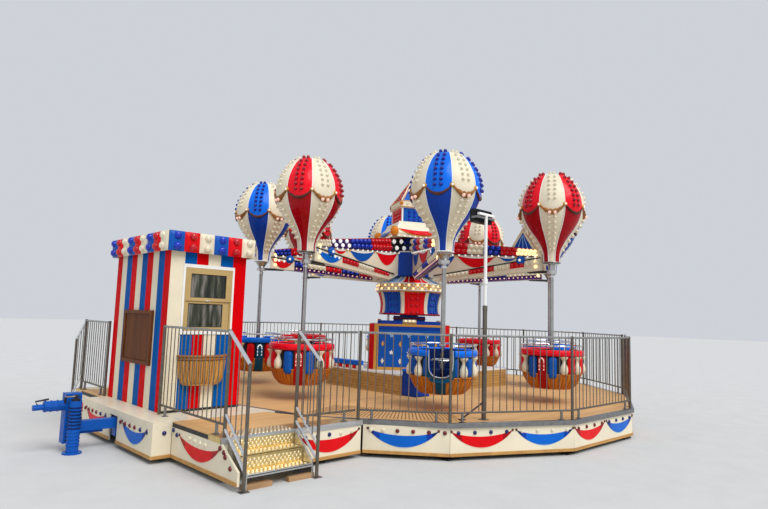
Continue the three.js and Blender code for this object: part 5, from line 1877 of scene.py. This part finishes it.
def floodlights():
    x, y = -1.95, -3.245
    joint_z, bar_z = 1.9, 3.165
    for name, mirrored in FLANKS:
        piece = Piece()
        piece.add(tube([(x, y, DECK_TOP + 0.001), (x, y, joint_z)], 0.03, 16), "brown_steel")
        piece.add(tube([(x, y, joint_z), (x, y, bar_z - 0.02)], 0.022, 16), "white")
        for z in (joint_z, 2.25):
            bulge = [(0.024, z - 0.035), (0.033, z - 0.03), (0.033, z + 0.03), (0.024, z + 0.035)]
            collar = turned(bulge, 16)
            piece.add(moved(collar, x, y), "brown_steel" if z == joint_z else "white")
        foot_z = DECK_TOP + 0.001
        piece.add(moved(slab((-0.05, 0.05), (-0.05, 0.05), (foot_z, foot_z + 0.01)), x, y), "post_steel")
        piece.add(slab((x - 0.165, x + 0.165), (y - 0.02, y + 0.02), (bar_z - 0.032, bar_z)), "white")

        # The lamp: a ribbed dark body with a glass on the ride's side, in a bent bracket
        low, high = 3.04, 3.22
        ribs_z = (low + 0.015, high - 0.015)
        bracket_z = (bar_z - 0.075, bar_z - 0.045)
        piece.add(slab((x - 0.185, x + 0.185), (y + 0.045, y + 0.13), (low, high)), "black")
        for i in range(9):
            rib = x - 0.16 + 0.04 * i
            piece.add(slab((rib - 0.006, rib + 0.006), (y + 0.024, y + 0.046), ribs_z), "dark")
        piece.add(slab((x - 0.17, x + 0.17), (y + 0.13, y + 0.136), ribs_z), "glass")
        for side in (-1, 1):
            arm_x = x + side * 0.1875
            piece.add(slab((arm_x - 0.003, arm_x + 0.003), (y, y + 0.1), bracket_z), "post_steel")
        piece.add(slab((x - 0.19, x + 0.19), (y - 0.004, y + 0.006), bracket_z), "post_steel")
        foot = Vector((x - 0.26, y + 0.15, DECK_TOP + 0.016))
        piece.add(tube([(x, y, 0.69), foot], 0.011, 8), "dark_steel")
        piece.add(moved(slab((-0.035, 0.035), (-0.035, 0.035), (-0.014, -0.004)), *foot), "dark_steel")
        piece.make(f"{name}_floodlight_mast", "platform", [f"{name}_floodlight"],
                   mirrored=mirrored, bevel=0.002)


place_camera()
set_stage()
for k in range(8):
    envelope(k)
    gondola(k)
sweep_arms()
striped_crown()
lamp_ring()
top_dish()
tower()
decks()
skirts()
fences()
stairs()
booth_walls()
booth_roof()
booth_window()
booth_basket()
booth_board()
drawbar()
plinth()
housing()
floodlights()
finish_node("chassis", "dark_steel")
finish_node("trailer_deck", "cream")
finish_node("mast", "aluminium")
finish_node("lift_sleeve", "deep_blue")
